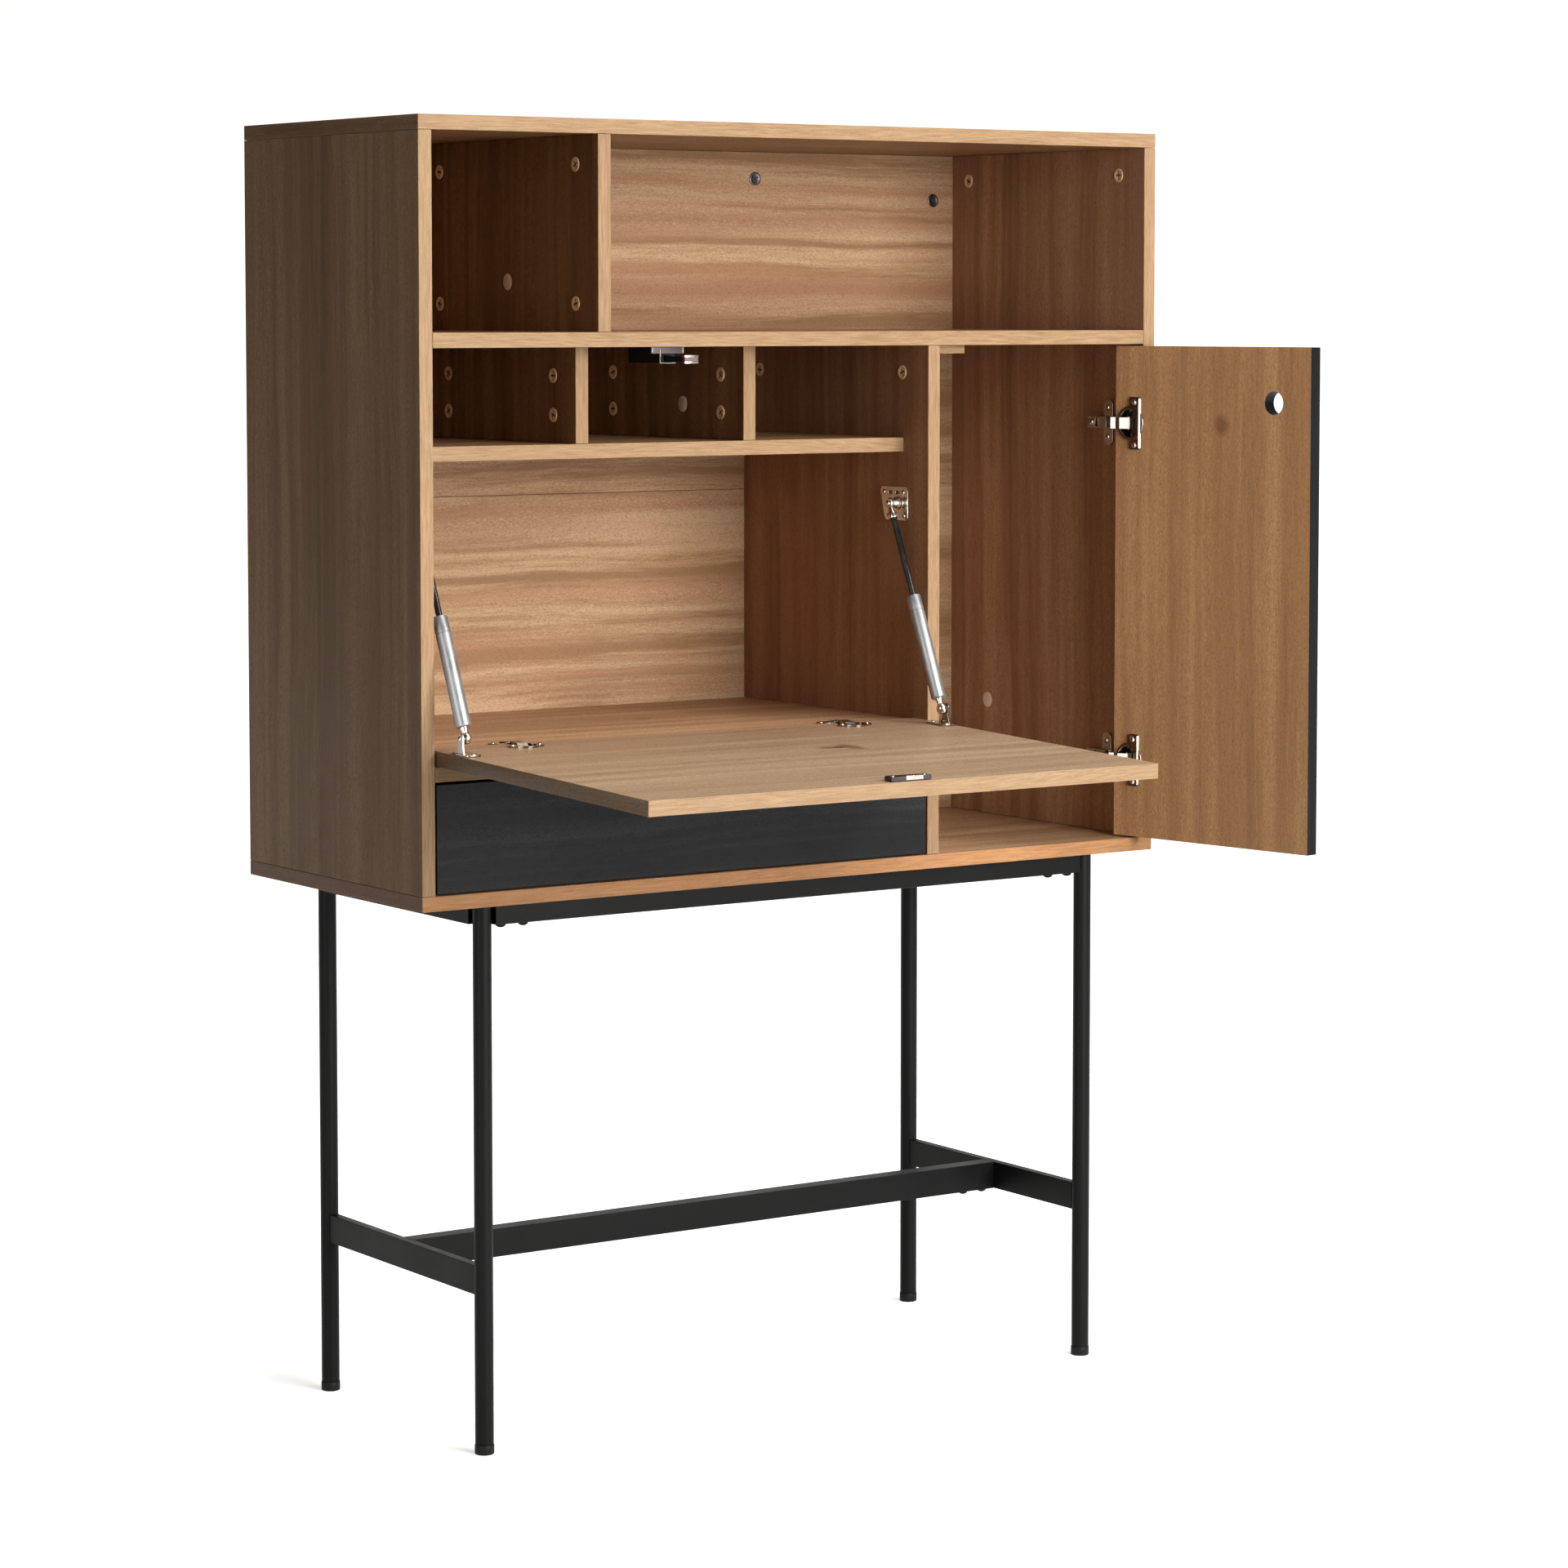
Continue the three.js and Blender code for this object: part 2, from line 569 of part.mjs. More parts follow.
doorCuts.push(rod("y", FINGER_HOLE.diameter / 2, doorOut - 5, doorIn + 5, holeX, FINGER_HOLE.z, 48));
add(door, "door_panel", cut(slabXY(doorProfile, ...DOOR_HEIGHT), ...doorCuts), blackOak());

// Door hinges: an eared cup in the door and an arm on a winged plate on the side panel.
DOOR_HINGES.forEach((z, i) => {
  const level = ["lower", "upper"][i];
  const face = doorIn + GAP;
  const pocketFloor = doorIn - DOOR_CUP.depth;
  const earOutline = roundedRectangle(
    cupX - DOOR_EARS.toward,
    cupX + DOOR_EARS.away,
    z - DOOR_EARS.half,
    z + DOOR_EARS.half,
    DOOR_EARS.corner,
  );
  const ears = slabXZ(earOutline, face, face + DOOR_CUP.flange, 4);
  const cup = rod("y", DOOR_CUP.radius, pocketFloor, face + DOOR_CUP.flange, cupX, z, 40);
  const hollowRadius = DOOR_CUP.radius - DOOR_CUP.wall;
  const hollow = rod("y", hollowRadius, pocketFloor + DOOR_CUP.wall, face + 2 * DOOR_CUP.flange, cupX, z, 40);
  const link = box(
    cupX + DOOR_LINK.from,
    DOOR_LINK.to,
    face,
    doorIn + DOOR_LINK.height,
    z - DOOR_LINK.half,
    z + DOOR_LINK.half,
  );
  add(door, `door_hinge_cup_${level}`, join(cut(join(ears, cup), hollow), link), nickel());

  const wingSide = inner - GAP;
  const wing = slabYZ(
    roundedRectangle(
      ...shifted(DOOR_WING.y, front),
      z - DOOR_WING.half,
      z + DOOR_WING.half,
      DOOR_WING.corner,
    ),
    wingSide - DOOR_WING.thickness,
    wingSide,
    4,
  );
  const armHigh = [z - DOOR_ARM.half, z + DOOR_ARM.half];
  const armSide = inner - DOOR_ARM.height;
  const arm = box(armSide, wingSide - 0.7, ...shifted(DOOR_ARM.y, front), ...armHigh);
  const knuckleY = [front + DOOR_ARM.y[0], front + DOOR_ARM_TIP.y[1]];
  const knuckle = box(DOOR_ARM_TIP.x[0], armSide + 2, ...knuckleY, ...armHigh);
  const tip = box(...DOOR_ARM_TIP.x, ...shifted(DOOR_ARM_TIP.y, front), ...armHigh);
  add(desk, `door_hinge_arm_${level}`, join(wing, arm, knuckle, tip), nickel());
});

// Leg frame: four round tube legs, square bars under the cabinet and an H of flat bars low down.
const legX = half - LEG_INSET.side;
const legY = -front - LEG_INSET.end;
const frameTop = CABINET_BASE - GAP;
for (const [sideName, x] of [["left", -legX], ["right", legX]]) {
  for (const [endName, y] of [["front", -legY], ["rear", legY]]) {
    const tube = cut(
      rod("z", LEG_RADIUS, FOOT.height + GAP, frameTop, x, y),
      rod("z", LEG_RADIUS - TUBE_WALL, 0, HEIGHT, x, y),
    );
    add(desk, `leg_${endName}_${sideName}`, tube, blackSteel());
    add(desk, `foot_${endName}_${sideName}`, rod("z", FOOT.radius, 0, FOOT.height, x, y), blackPlastic());
  }
}
// A rectangular tube, open at both ends of the axis that it runs along.
function tubeBar(axis, [x0, x1], [y0, y1], [z0, z1]) {
  const inset = (name) => (name === axis ? -1 : TUBE_WALL);
  const hollow = box(
    x0 + inset("x"),
    x1 - inset("x"),
    y0 + inset("y"),
    y1 - inset("y"),
    z0 + TUBE_WALL,
    z1 - TUBE_WALL,
  );
  return cut(box(x0, x1, y0, y1, z0, z1), hollow);
}

const barHalf = FRAME_BAR / 2;
const barZ = [frameTop - FRAME_BAR, frameTop];
const stretcherZ = [STRETCHER.bottom, STRETCHER.top];
const about = (middle, reach) => [middle - reach, middle + reach];
const sideReach = legY - LEG_RADIUS - 1; // half length of the bars that run front to back
for (const [sideName, x] of [["left", -legX], ["right", legX]]) {
  const bar = tubeBar("y", about(x, barHalf), about(0, sideReach), barZ);
  add(desk, `frame_side_bar_${sideName}`, bar, blackSteel());
  const stretcher = tubeBar("y", about(x, STRETCHER.side / 2), about(0, sideReach + 0.5), stretcherZ);
  add(desk, `stretcher_side_${sideName}`, stretcher, blackSteel());
}
const beamReach = legX - LEG_RADIUS - 0.8;
for (const [endName, y] of [["front", -legY], ["rear", legY]]) {
  const beam = tubeBar("x", about(0, beamReach), about(y, barHalf), barZ);
  add(desk, `frame_beam_${endName}`, beam, blackSteel());
}
const longReach = legX - STRETCHER.side / 2 - GAP;
const stretcherLong = tubeBar("x", about(0, longReach), about(0, STRETCHER.long / 2), stretcherZ);
add(desk, "stretcher_long", stretcherLong, blackSteel());

// The origin moves to the middle of the whole object's footprint.
desk.updateMatrixWorld(true);
const extent = new THREE.Box3().setFromObject(desk, true);
desk.position.set(-(extent.min.x + extent.max.x) / 2, -(extent.min.y + extent.max.y) / 2, -extent.min.z);

const root = new THREE.Group();
root.add(desk);
export default root;
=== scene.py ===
"""Looks for the secretary desk: materials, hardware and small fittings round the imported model.

Metres, in the model's own frame: +Z up, the front faces -Y, origin on the floor under the object.
"""

import json
import math

import bmesh
import bpy
from mathutils import Matrix, Vector


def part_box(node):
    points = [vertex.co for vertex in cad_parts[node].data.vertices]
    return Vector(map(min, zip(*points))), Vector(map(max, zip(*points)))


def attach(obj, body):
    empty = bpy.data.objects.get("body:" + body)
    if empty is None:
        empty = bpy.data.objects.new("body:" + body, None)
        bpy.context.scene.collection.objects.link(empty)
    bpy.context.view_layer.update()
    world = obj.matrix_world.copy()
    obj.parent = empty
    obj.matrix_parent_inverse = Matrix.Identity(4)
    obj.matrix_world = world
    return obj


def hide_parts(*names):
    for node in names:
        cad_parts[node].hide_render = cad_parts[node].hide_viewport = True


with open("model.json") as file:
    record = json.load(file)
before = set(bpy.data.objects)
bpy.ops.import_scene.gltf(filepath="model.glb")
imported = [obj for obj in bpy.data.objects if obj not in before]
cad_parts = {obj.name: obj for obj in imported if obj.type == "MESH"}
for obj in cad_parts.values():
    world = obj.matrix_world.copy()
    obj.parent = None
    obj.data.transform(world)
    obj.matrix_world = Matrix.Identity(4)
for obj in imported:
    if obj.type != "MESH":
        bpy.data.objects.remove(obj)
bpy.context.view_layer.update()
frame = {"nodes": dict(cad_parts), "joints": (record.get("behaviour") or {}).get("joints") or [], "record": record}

# -------- places, from the frame
TOP_LO, TOP_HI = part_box("top_panel")
MIDDLE = (TOP_LO.x + TOP_HI.x) / 2
FRONT = TOP_LO.y
JOINTS = {joint["name"]: joint for joint in frame["joints"]}
AXES = {"x": 0, "y": 1, "z": 2}
LOW, HIGH = 0, 1  # the two corners of a box


def at(x, y, z):
    """A point given in millimetres from the cabinet's middle, its front plane and the floor."""
    return Vector((MIDDLE + x / 1000, FRONT + y / 1000, z / 1000))


def face_of(node, axis, corner):
    """Where a node's box ends along an axis, in the millimetres of at()."""
    return round((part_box(node)[corner] - at(0, 0, 0))[AXES[axis]] * 1000, 3)


def middle_of(node, axis):
    return (face_of(node, axis, LOW) + face_of(node, axis, HIGH)) / 2


def pivot_of(joint):
    return Vector(JOINTS[joint]["pos_m"])


def from_shut(joint):
    """The turn that takes a shut flap or door to where it rests, open."""
    pivot = pivot_of(joint)
    angle = math.radians(-JOINTS[joint]["range_deg"][0])
    turn = Matrix.Rotation(angle, 4, Vector(JOINTS[joint]["axis"]))
    return Matrix.Translation(pivot) @ turn @ Matrix.Translation(-pivot)


ON_DOOR = from_shut("door_hinge")
ON_FLAP = from_shut("flap_hinge")
STAY = Matrix.Identity(4)
DOOR_INWARD = ON_DOOR.to_3x3() @ Vector((0, 1, 0))  # the way the inner face looks, once open
FLAP_INWARD = ON_FLAP.to_3x3() @ Vector((0, 1, 0))

# -------- camera, light and floor
CAMERA_PLACE = (-2.6349, -3.7913, 1.1522)
CAMERA_YAW = 34.281  # degrees from +Y towards +X
CAMERA_DOWN = 4.106
CAMERA_LENS = 102.4  # millimetres
CAMERA_SENSOR = 36
CAMERA_SHIFT = -0.1
CAMERA_REACH = 100


def linked(name, data):
    made = bpy.data.objects.new(name, data)
    bpy.context.scene.collection.objects.link(made)
    return made


def make_camera():
    data = bpy.data.cameras.new("camera")
    data.lens = CAMERA_LENS
    data.sensor_width = CAMERA_SENSOR
    data.shift_y = CAMERA_SHIFT
    data.clip_end = CAMERA_REACH
    camera = linked("camera", data)
    camera.location = CAMERA_PLACE
    camera.rotation_euler = (math.radians(90 - CAMERA_DOWN), 0, math.radians(-CAMERA_YAW))
    bpy.context.scene.camera = camera


def make_light(name, kind, place, aim, energy, colour, glossy_only=False, **settings):
    data = bpy.data.lights.new(name, kind)
    data.energy = energy
    data.color = colour
    for key, value in settings.items():
        setattr(data, key, value)
    light = linked(name, data)
    light.location = place
    light.rotation_euler = (Vector(aim) - Vector(place)).to_track_quat("-Z", "Y").to_euler()
    light.visible_camera = False
    light.visible_diffuse = not glossy_only


CABINET_FRONT = (0.45, 0.1, 1.0)  # what the softbox is aimed at
CABINET_MIDDLE = (0.4, 0.0, 0.9)
SUN_AIM = (0, 0.1, 0.8)


def make_lights():
    """A softbox in front, a key from the right, a broad overhead, and a card seen only in reflections."""
    make_light("softbox", "AREA", (0.45, -3.3, 1.4), CABINET_FRONT, 195, (1.0, 0.965, 0.92),
               shape="RECTANGLE", size=2.1, size_y=2.0)
    make_light("card", "AREA", (-2.6, -0.9, 1.1), CABINET_MIDDLE, 30, (1.0, 1.0, 1.0), glossy_only=True,
               shape="RECTANGLE", size=1.3, size_y=1.8)
    make_light("key", "SUN", (2.6, -3.7, 3.7), SUN_AIM, 1.15, (1.0, 0.97, 0.92), angle=math.radians(9))
    make_light("overhead", "SUN", (0.9, -1.3, 5.0), SUN_AIM, 1.75, (1.0, 0.99, 0.97), angle=math.radians(40))


STAGE_REACH = 9.0  # from the object to each side, to the front and to the backdrop
BACKDROP_HEIGHT = 7.0
BACKDROP_RADIUS = 2.0
BACKDROP_STEPS = 16
WIDE_REACH = 60
WIDE_DROP = 0.002  # how far the wide floor lies below the first
FLOOR_GLOW = 0.6


def backdrop_profile():
    """The floor from front to back, the round at its end and the wall, as points out and up."""
    points = [(-STAGE_REACH, 0.0)]
    for i in range(BACKDROP_STEPS + 1):
        angle = math.pi / 2 * i / BACKDROP_STEPS
        out = STAGE_REACH - BACKDROP_RADIUS + BACKDROP_RADIUS * math.sin(angle)
        points.append((out, BACKDROP_RADIUS - BACKDROP_RADIUS * math.cos(angle)))
    points.append((STAGE_REACH, BACKDROP_HEIGHT))
    return points


def pale_floor():
    shade = Shade("pale_floor", roughness=0.85)
    cloud = shade.noise(shade.stretched((1, 1, 1)), 0.8, 2)
    shade.colour(shade.ramp(cloud, [(0.3, (0.86, 0.86, 0.86)), (0.7, (0.88, 0.88, 0.88))]))
    shade.shader.inputs["Emission Color"].default_value = (1, 1, 1, 1)
    shade.shader.inputs["Emission Strength"].default_value = FLOOR_GLOW
    return shade.material


def surface(name, points, faces, material):
    """A stage object. Diffuse rays miss it, so that it sheds no light on the boards."""
    mesh = bpy.data.meshes.new(name)
    mesh.from_pydata(points, [], faces)
    mesh.polygons.foreach_set("use_smooth", [True] * len(mesh.polygons))
    mesh.materials.append(material)
    made = linked(name, mesh)
    made.visible_diffuse = False
    return made


def make_stage():
    """A floor that curves up into a backdrop, and a wide floor that the camera sees past its ends."""
    material = pale_floor()
    turn = Matrix.Rotation(math.radians(-CAMERA_YAW), 4, "Z")
    profile = backdrop_profile()
    points = [turn @ Vector((side * STAGE_REACH, out, up)) for out, up in profile for side in (-1, 1)]
    faces = [(2 * i, 2 * i + 1, 2 * i + 3, 2 * i + 2) for i in range(len(profile) - 1)]
    floor = surface("floor", points, faces, material)
    corners = [(x * WIDE_REACH, y * WIDE_REACH, -WIDE_DROP) for x, y in ((-1, -1), (1, -1), (1, 1), (-1, 1))]
    wide_floor = surface("wide_floor", corners, [(0, 1, 2, 3)], material)
    wide_floor.visible_glossy = False


WORLD_COLOUR = (1.0, 0.92, 0.82, 1)
WORLD_STRENGTH = 0.165


def make_world():
    world = bpy.data.worlds.new("studio")
    bpy.context.scene.world = world
    world.use_nodes = True
    background = world.node_tree.nodes["Background"]
    background.inputs["Color"].default_value = WORLD_COLOUR
    background.inputs["Strength"].default_value = WORLD_STRENGTH


# -------- materials
class Shade:
    """One node material, with short ways to add its nodes."""

    def __init__(self, name, roughness=0.5, metallic=0.0, specular=0.5):
        self.material = bpy.data.materials.new(name)
        self.material.use_nodes = True
        self.tree = self.material.node_tree
        self.shader = self.tree.nodes["Principled BSDF"]
        self.shader.inputs["Roughness"].default_value = roughness
        self.shader.inputs["Metallic"].default_value = metallic
        self.shader.inputs["Specular IOR Level"].default_value = specular
        self.place = self.node("ShaderNodeTexCoord")

    def node(self, kind, links=(), **settings):
        made = self.tree.nodes.new(kind)
        for key, value in settings.items():
            setattr(made, key, value)
        for socket, value in dict(links).items():
            self.set(made.inputs[socket], value)
        return made

    def set(self, socket, value):
        if isinstance(value, bpy.types.NodeSocket):
            self.tree.links.new(value, socket)
        else:
            socket.default_value = value

    def stretched(self, scale, offset=(0, 0, 0), vector=None):
        links = {"Vector": vector or self.place.outputs["Object"], "Location": offset, "Scale": scale}
        return self.node("ShaderNodeMapping", links).outputs["Vector"]

    def noise(self, vector, scale, detail=3.0, rough=0.5):
        links = {"Vector": vector, "Scale": scale, "Detail": detail, "Roughness": rough}
        return self.node("ShaderNodeTexNoise", links).outputs["Fac"]

    def ramp(self, factor, stops):
        made = self.node("ShaderNodeValToRGB", {"Fac": factor})
        elements = made.color_ramp.elements
        while len(elements) < len(stops):
            elements.new(0.5)
        for element, (position, colour) in zip(elements, stops):
            element.position = position
            element.color = (*colour, 1)
        return made.outputs["Color"]

    def range(self, value, low, high, to_low=0.0, to_high=1.0):
        links = {"Value": value, "From Min": low, "From Max": high, "To Min": to_low, "To Max": to_high}
        return self.node("ShaderNodeMapRange", links).outputs["Result"]

    def math(self, operation, first, second=0.0):
        made = self.node("ShaderNodeMath", operation=operation)
        self.set(made.inputs[0], first)
        self.set(made.inputs[1], second)
        return made.outputs[0]

    def vector(self, operation, *values):
        return self.node("ShaderNodeVectorMath", dict(enumerate(values)), operation=operation).outputs

    def parts(self, coordinates):
        """The X, Y and Z of the texture coordinates of that name."""
        return self.node("ShaderNodeSeparateXYZ", {"Vector": self.place.outputs[coordinates]}).outputs

    def mix(self, factor, first, second, blend="MIX"):
        made = self.node("ShaderNodeMix", data_type="RGBA", blend_type=blend)
        self.set(made.inputs["Factor"], factor)
        self.set(made.inputs["A"], first)
        self.set(made.inputs["B"], second)
        return made.outputs["Result"]

    def colour(self, value):
        self.set(self.shader.inputs["Base Color"], value)

    def roughness(self, value):
        self.set(self.shader.inputs["Roughness"], value)

    def bump(self, height, distance, strength=0.5):
        links = {"Height": height, "Distance": distance, "Strength": strength}
        made = self.node("ShaderNodeBump", links)
        self.set(self.shader.inputs["Normal"], made.outputs["Normal"])


def tones(*colours):
    """A veneer's colours: its dark, middling and light bands, its redder patches and its pores."""
    return dict(zip(("dark", "middle", "light", "red", "pore"), colours))


OAK = tones((0.230, 0.125, 0.058), (0.345, 0.205, 0.105), (0.450, 0.290, 0.160),
            (0.320, 0.160, 0.080), (0.150, 0.075, 0.034))
# The flap's oak, paler and greyer than the rest: partly the flap's own paler veneer, partly a painted sheen.
PALE_AND_SHEEN_OAK = tones((0.280, 0.184, 0.110), (0.375, 0.264, 0.172), (0.450, 0.335, 0.230),
                 (0.345, 0.224, 0.140), (0.190, 0.120, 0.070))
# The door's inner veneer, brighter than the oak, to stand in for light that the lamps don't bring to the open
# door's inner face: painted light.
LIT_BROWN_OAK = tones((0.460, 0.255, 0.122), (0.600, 0.345, 0.168), (0.720, 0.435, 0.222),
                  (0.560, 0.295, 0.140), (0.230, 0.118, 0.054))
WARM_OAK = tones((0.285, 0.156, 0.086), (0.410, 0.240, 0.144), (0.500, 0.312, 0.194),
                 (0.385, 0.205, 0.120), (0.170, 0.080, 0.040))
BACK_OAK = tones((0.250, 0.142, 0.072), (0.350, 0.216, 0.124), (0.435, 0.292, 0.178),
                 (0.332, 0.178, 0.102), (0.170, 0.088, 0.042))
# The desk surface's oak, brighter than the rest to make up for the light that the boards round it keep off:
# painted light.
LIT_DESK_OAK = tones((0.310, 0.168, 0.083), (0.430, 0.248, 0.134), (0.530, 0.320, 0.184),
                 (0.400, 0.208, 0.108), (0.185, 0.093, 0.044))
PARTITION_OAK = tones((0.230, 0.116, 0.058), (0.315, 0.170, 0.093), (0.390, 0.226, 0.128),
                      (0.300, 0.143, 0.078), (0.140, 0.066, 0.033))
# A darker, redder copy of the oak for the dividers deep in the bays: painted shade.
SHADED_OAK = tones((0.150, 0.074, 0.028), (0.235, 0.125, 0.053), (0.310, 0.180, 0.082),
                (0.215, 0.098, 0.040), (0.095, 0.044, 0.017))
EDGE_BAND = ((0.245, 0.155, 0.084), (0.345, 0.232, 0.134))
DEEP_EDGE_BAND = ((0.330, 0.155, 0.062), (0.450, 0.225, 0.098))
BLACK_OAK = tones((0.0050, 0.0052, 0.0060), (0.0085, 0.0090, 0.0102), (0.0190, 0.0196, 0.0215),
                  (0.0070, 0.0072, 0.0082), (0.0025, 0.0025, 0.0030))

MIX_FACTOR, MIX_A, MIX_B, MIX_OUT = 0, 4, 5, 1  # a Mix node's sockets when it mixes vectors
FACES = 0.75  # how far along an axis a normal points on the faces that look that way


def grain_space(shade, along, turned_along, seed):
    """Coordinates whose X runs along the grain. The faces that close the grain's ends take the grain of
    their own edge band, which runs along turned_along."""
    spaces = []
    for axis in (along, turned_along):
        order = [axis, *(other for other in "xyz" if other != axis)]
        parts = shade.parts("Object")
        links = {i: parts[AXES[a]] for i, a in enumerate(order)}
        spaces.append(shade.node("ShaderNodeCombineXYZ", links).outputs["Vector"])
    is_end = shade.math("GREATER_THAN", shade.math("ABSOLUTE", shade.parts("Normal")[AXES[along]]), FACES)
    links = {MIX_FACTOR: is_end, MIX_A: spaces[0], MIX_B: spaces[1]}
    chosen = shade.node("ShaderNodeMix", links, data_type="VECTOR")
    shift = (seed * 1.37, seed * 0.73, seed * 0.41)
    return shade.vector("ADD", chosen.outputs[MIX_OUT], shift)[0]


# The scale of each pattern in the veneer: along the grain, then twice across it
SWAY = (2.2, 7, 7)
BAND = (0.7, 46, 46)
STRIPE = (2.2, 85, 85)
FINE = (30, 560, 560)
WARM = (0.9, 36, 36)
RAY = (240, 760, 760)
PORE = (330, 1250, 1250)
WARM_SHIFT = (3.1, 1.7, 0.4)
RAY_SHIFT = (7.7, 2.2, 5.1)
SWAY_REACH = 0.035
BAND_SHARE = 1.2  # of the tone; the stripes' share is the board's figure
FINE_SHARE = 0.45
TONE_SPREAD = 0.17
RED_SHARE = 0.8
RAY_SHARE = 0.5
RAY_PALER = 1.25
PORE_SHARE = 0.5
# Where in its noise each of these starts and is full
RED_PATCH = (0.45, 0.62)
RAY_BAND = (0.44, 0.58)
SPECK = (0.5, 0.68)


def veneer(shade, space, oak, figure=0.5, banding=1.0):
    """A veneer's colour, fine figure and pores, from coordinates whose X runs along the grain: broad bands,
    stripes, redder patches, pale rays in the pale bands, and short dark pores."""
    sway = shade.noise(shade.stretched(SWAY, vector=space), 1.0, 2)
    wavy = shade.vector("MULTIPLY_ADD", sway, (0, SWAY_REACH, SWAY_REACH), space)[0]
    band = shade.noise(shade.stretched(BAND, vector=wavy), 1.0, 2)
    stripe = shade.noise(shade.stretched(STRIPE, vector=wavy), 1.0, 4, 0.6)
    fine = shade.noise(shade.stretched(FINE, vector=wavy), 1.0, 3, 0.65)
    warm = shade.noise(shade.stretched(WARM, WARM_SHIFT, wavy), 1.0, 2)
    ray = shade.noise(shade.stretched(RAY, RAY_SHIFT, wavy), 1.0, 2)
    pore = shade.noise(shade.stretched(PORE, vector=wavy), 1.0, 2, 0.5)
    broad = shade.math("MULTIPLY", band, BAND_SHARE * banding)
    tone = shade.math("ADD", broad, shade.math("MULTIPLY", stripe, figure))
    tone = shade.math("ADD", tone, shade.math("MULTIPLY", fine, FINE_SHARE))
    middle = 0.5 * (BAND_SHARE * banding + figure + FINE_SHARE)
    colour = shade.ramp(
        shade.range(tone, middle - TONE_SPREAD, middle + TONE_SPREAD),
        [(0.0, oak["dark"]), (0.5, oak["middle"]), (1.0, oak["light"])],
    )
    redness = shade.range(warm, *RED_PATCH, 0.0, RED_SHARE * banding)
    colour = shade.mix(redness, colour, (*oak["red"], 1))
    rays = shade.math("MULTIPLY", shade.range(ray, *SPECK, 0.0, RAY_SHARE), shade.range(band, *RAY_BAND))
    colour = shade.mix(rays, colour, (*(channel * RAY_PALER for channel in oak["light"]), 1))
    pores = shade.range(pore, *SPECK)
    colour = shade.mix(shade.math("MULTIPLY", pores, PORE_SHARE), colour, (*oak["pore"], 1))
    return colour, fine, pores


PAINTED_SHADE_TINT = (0.76, 0.67, 0.62)  # what the flap's colour is multiplied by near its hinges, by the cabinet: painted shade
KNOT_TONE = (0.150, 0.078, 0.040)
KNOT_HEART = (0.05, 0.025, 0.014)
DOOR_KNOT_TONE = (0.19, 0.092, 0.042)
KNOT_RAGGED = 90
FLAP_KNOTS = [  # centre at rest, radii in metres, tone
    (at(-70, -146, 711), (0.022, 0.010, 0.05), KNOT_TONE),
    (at(-50, -150, 711), (0.012, 0.026, 0.05), KNOT_TONE),
    (at(-62, -147, 711), (0.009, 0.005, 0.05), KNOT_HEART),
]
DESK_KNOTS = [(at(-82, 190, 715), (0.014, 0.007, 0.02), KNOT_TONE)]
DOOR_KNOT = (ON_DOOR @ at(292.7, 15, 1025.7), (0.012, 0.012, 0.0135), DOOR_KNOT_TONE)
GRAIN_DEPTH = 0.00012  # of the bump, in metres


def knot(shade, colour, centre, radii, tone, depth=0.8):
    """A small knot: a dark oval in the veneer, centred on a point of the object at rest."""
    away = shade.vector("SUBTRACT", shade.place.outputs["Object"], centre)[0]
    distance = shade.vector("LENGTH", shade.vector("DIVIDE", away, radii)[0])["Value"]
    ragged = shade.noise(shade.stretched((KNOT_RAGGED,) * 3), 1.0, 3)
    edge = shade.math("ADD", distance, shade.math("MULTIPLY", ragged, 0.6))
    inside = shade.range(edge, 1.35, 0.75, 0.0, depth)
    return shade.mix(inside, colour, (*tone, 1))


def grain_bump(shade, fine, pores, strength):
    height = shade.math("SUBTRACT", shade.math("MULTIPLY", fine, 0.3), pores)
    shade.bump(height, GRAIN_DEPTH, strength)


def banded(shade, colour, fine, edge_band):
    """The colour, with the edge band's two tones on the faces that look at the front of the cabinet."""
    looks_forward = shade.math("LESS_THAN", shade.parts("Normal")["Y"], -FACES)
    band = shade.ramp(fine, [(0.36, edge_band[0]), (0.64, edge_band[1])])
    return shade.mix(shade.math("MULTIPLY", looks_forward, 0.8), colour, band)


def shaded_towards_cabinet(shade, colour, far, near):
    """The colour, going over to a darker, redder one between two places in Y: painted shade on the flap towards
    the cabinet.
    """
    share = shade.range(shade.parts("Object")["Y"], far, near)
    return shade.mix(share, colour, (*PAINTED_SHADE_TINT, 1), "MULTIPLY")


def wood(name, grain, seed, oak=OAK, figure=0.5, banding=1.0, knots=(), gloss=0.40, specular=0.12,
         edge_band=None, painted_shade_span=None):
    """Veneered board, with its grain along one axis and its end bands along another."""
    shade = Shade(name, specular=specular)
    space = grain_space(shade, *grain, seed)
    colour, fine, pores = veneer(shade, space, oak, figure, banding)
    # painted shade on the flap, darker towards the cabinet
    if painted_shade_span:
        colour = shaded_towards_cabinet(shade, colour, *painted_shade_span)
    for centre, radii, tone in knots:
        colour = knot(shade, colour, centre, radii, tone)
    if edge_band:
        colour = banded(shade, colour, fine, edge_band)
    shade.colour(colour)
    worn = shade.noise(shade.stretched((3, 3, 3)), 1.0, 3)
    worn_rough = shade.range(worn, 0.3, 0.7, gloss - 0.05, gloss + 0.07)
    shade.roughness(shade.math("ADD", worn_rough, shade.math("MULTIPLY", pores, 0.15)))
    grain_bump(shade, fine, pores, 0.3)
    return shade.material


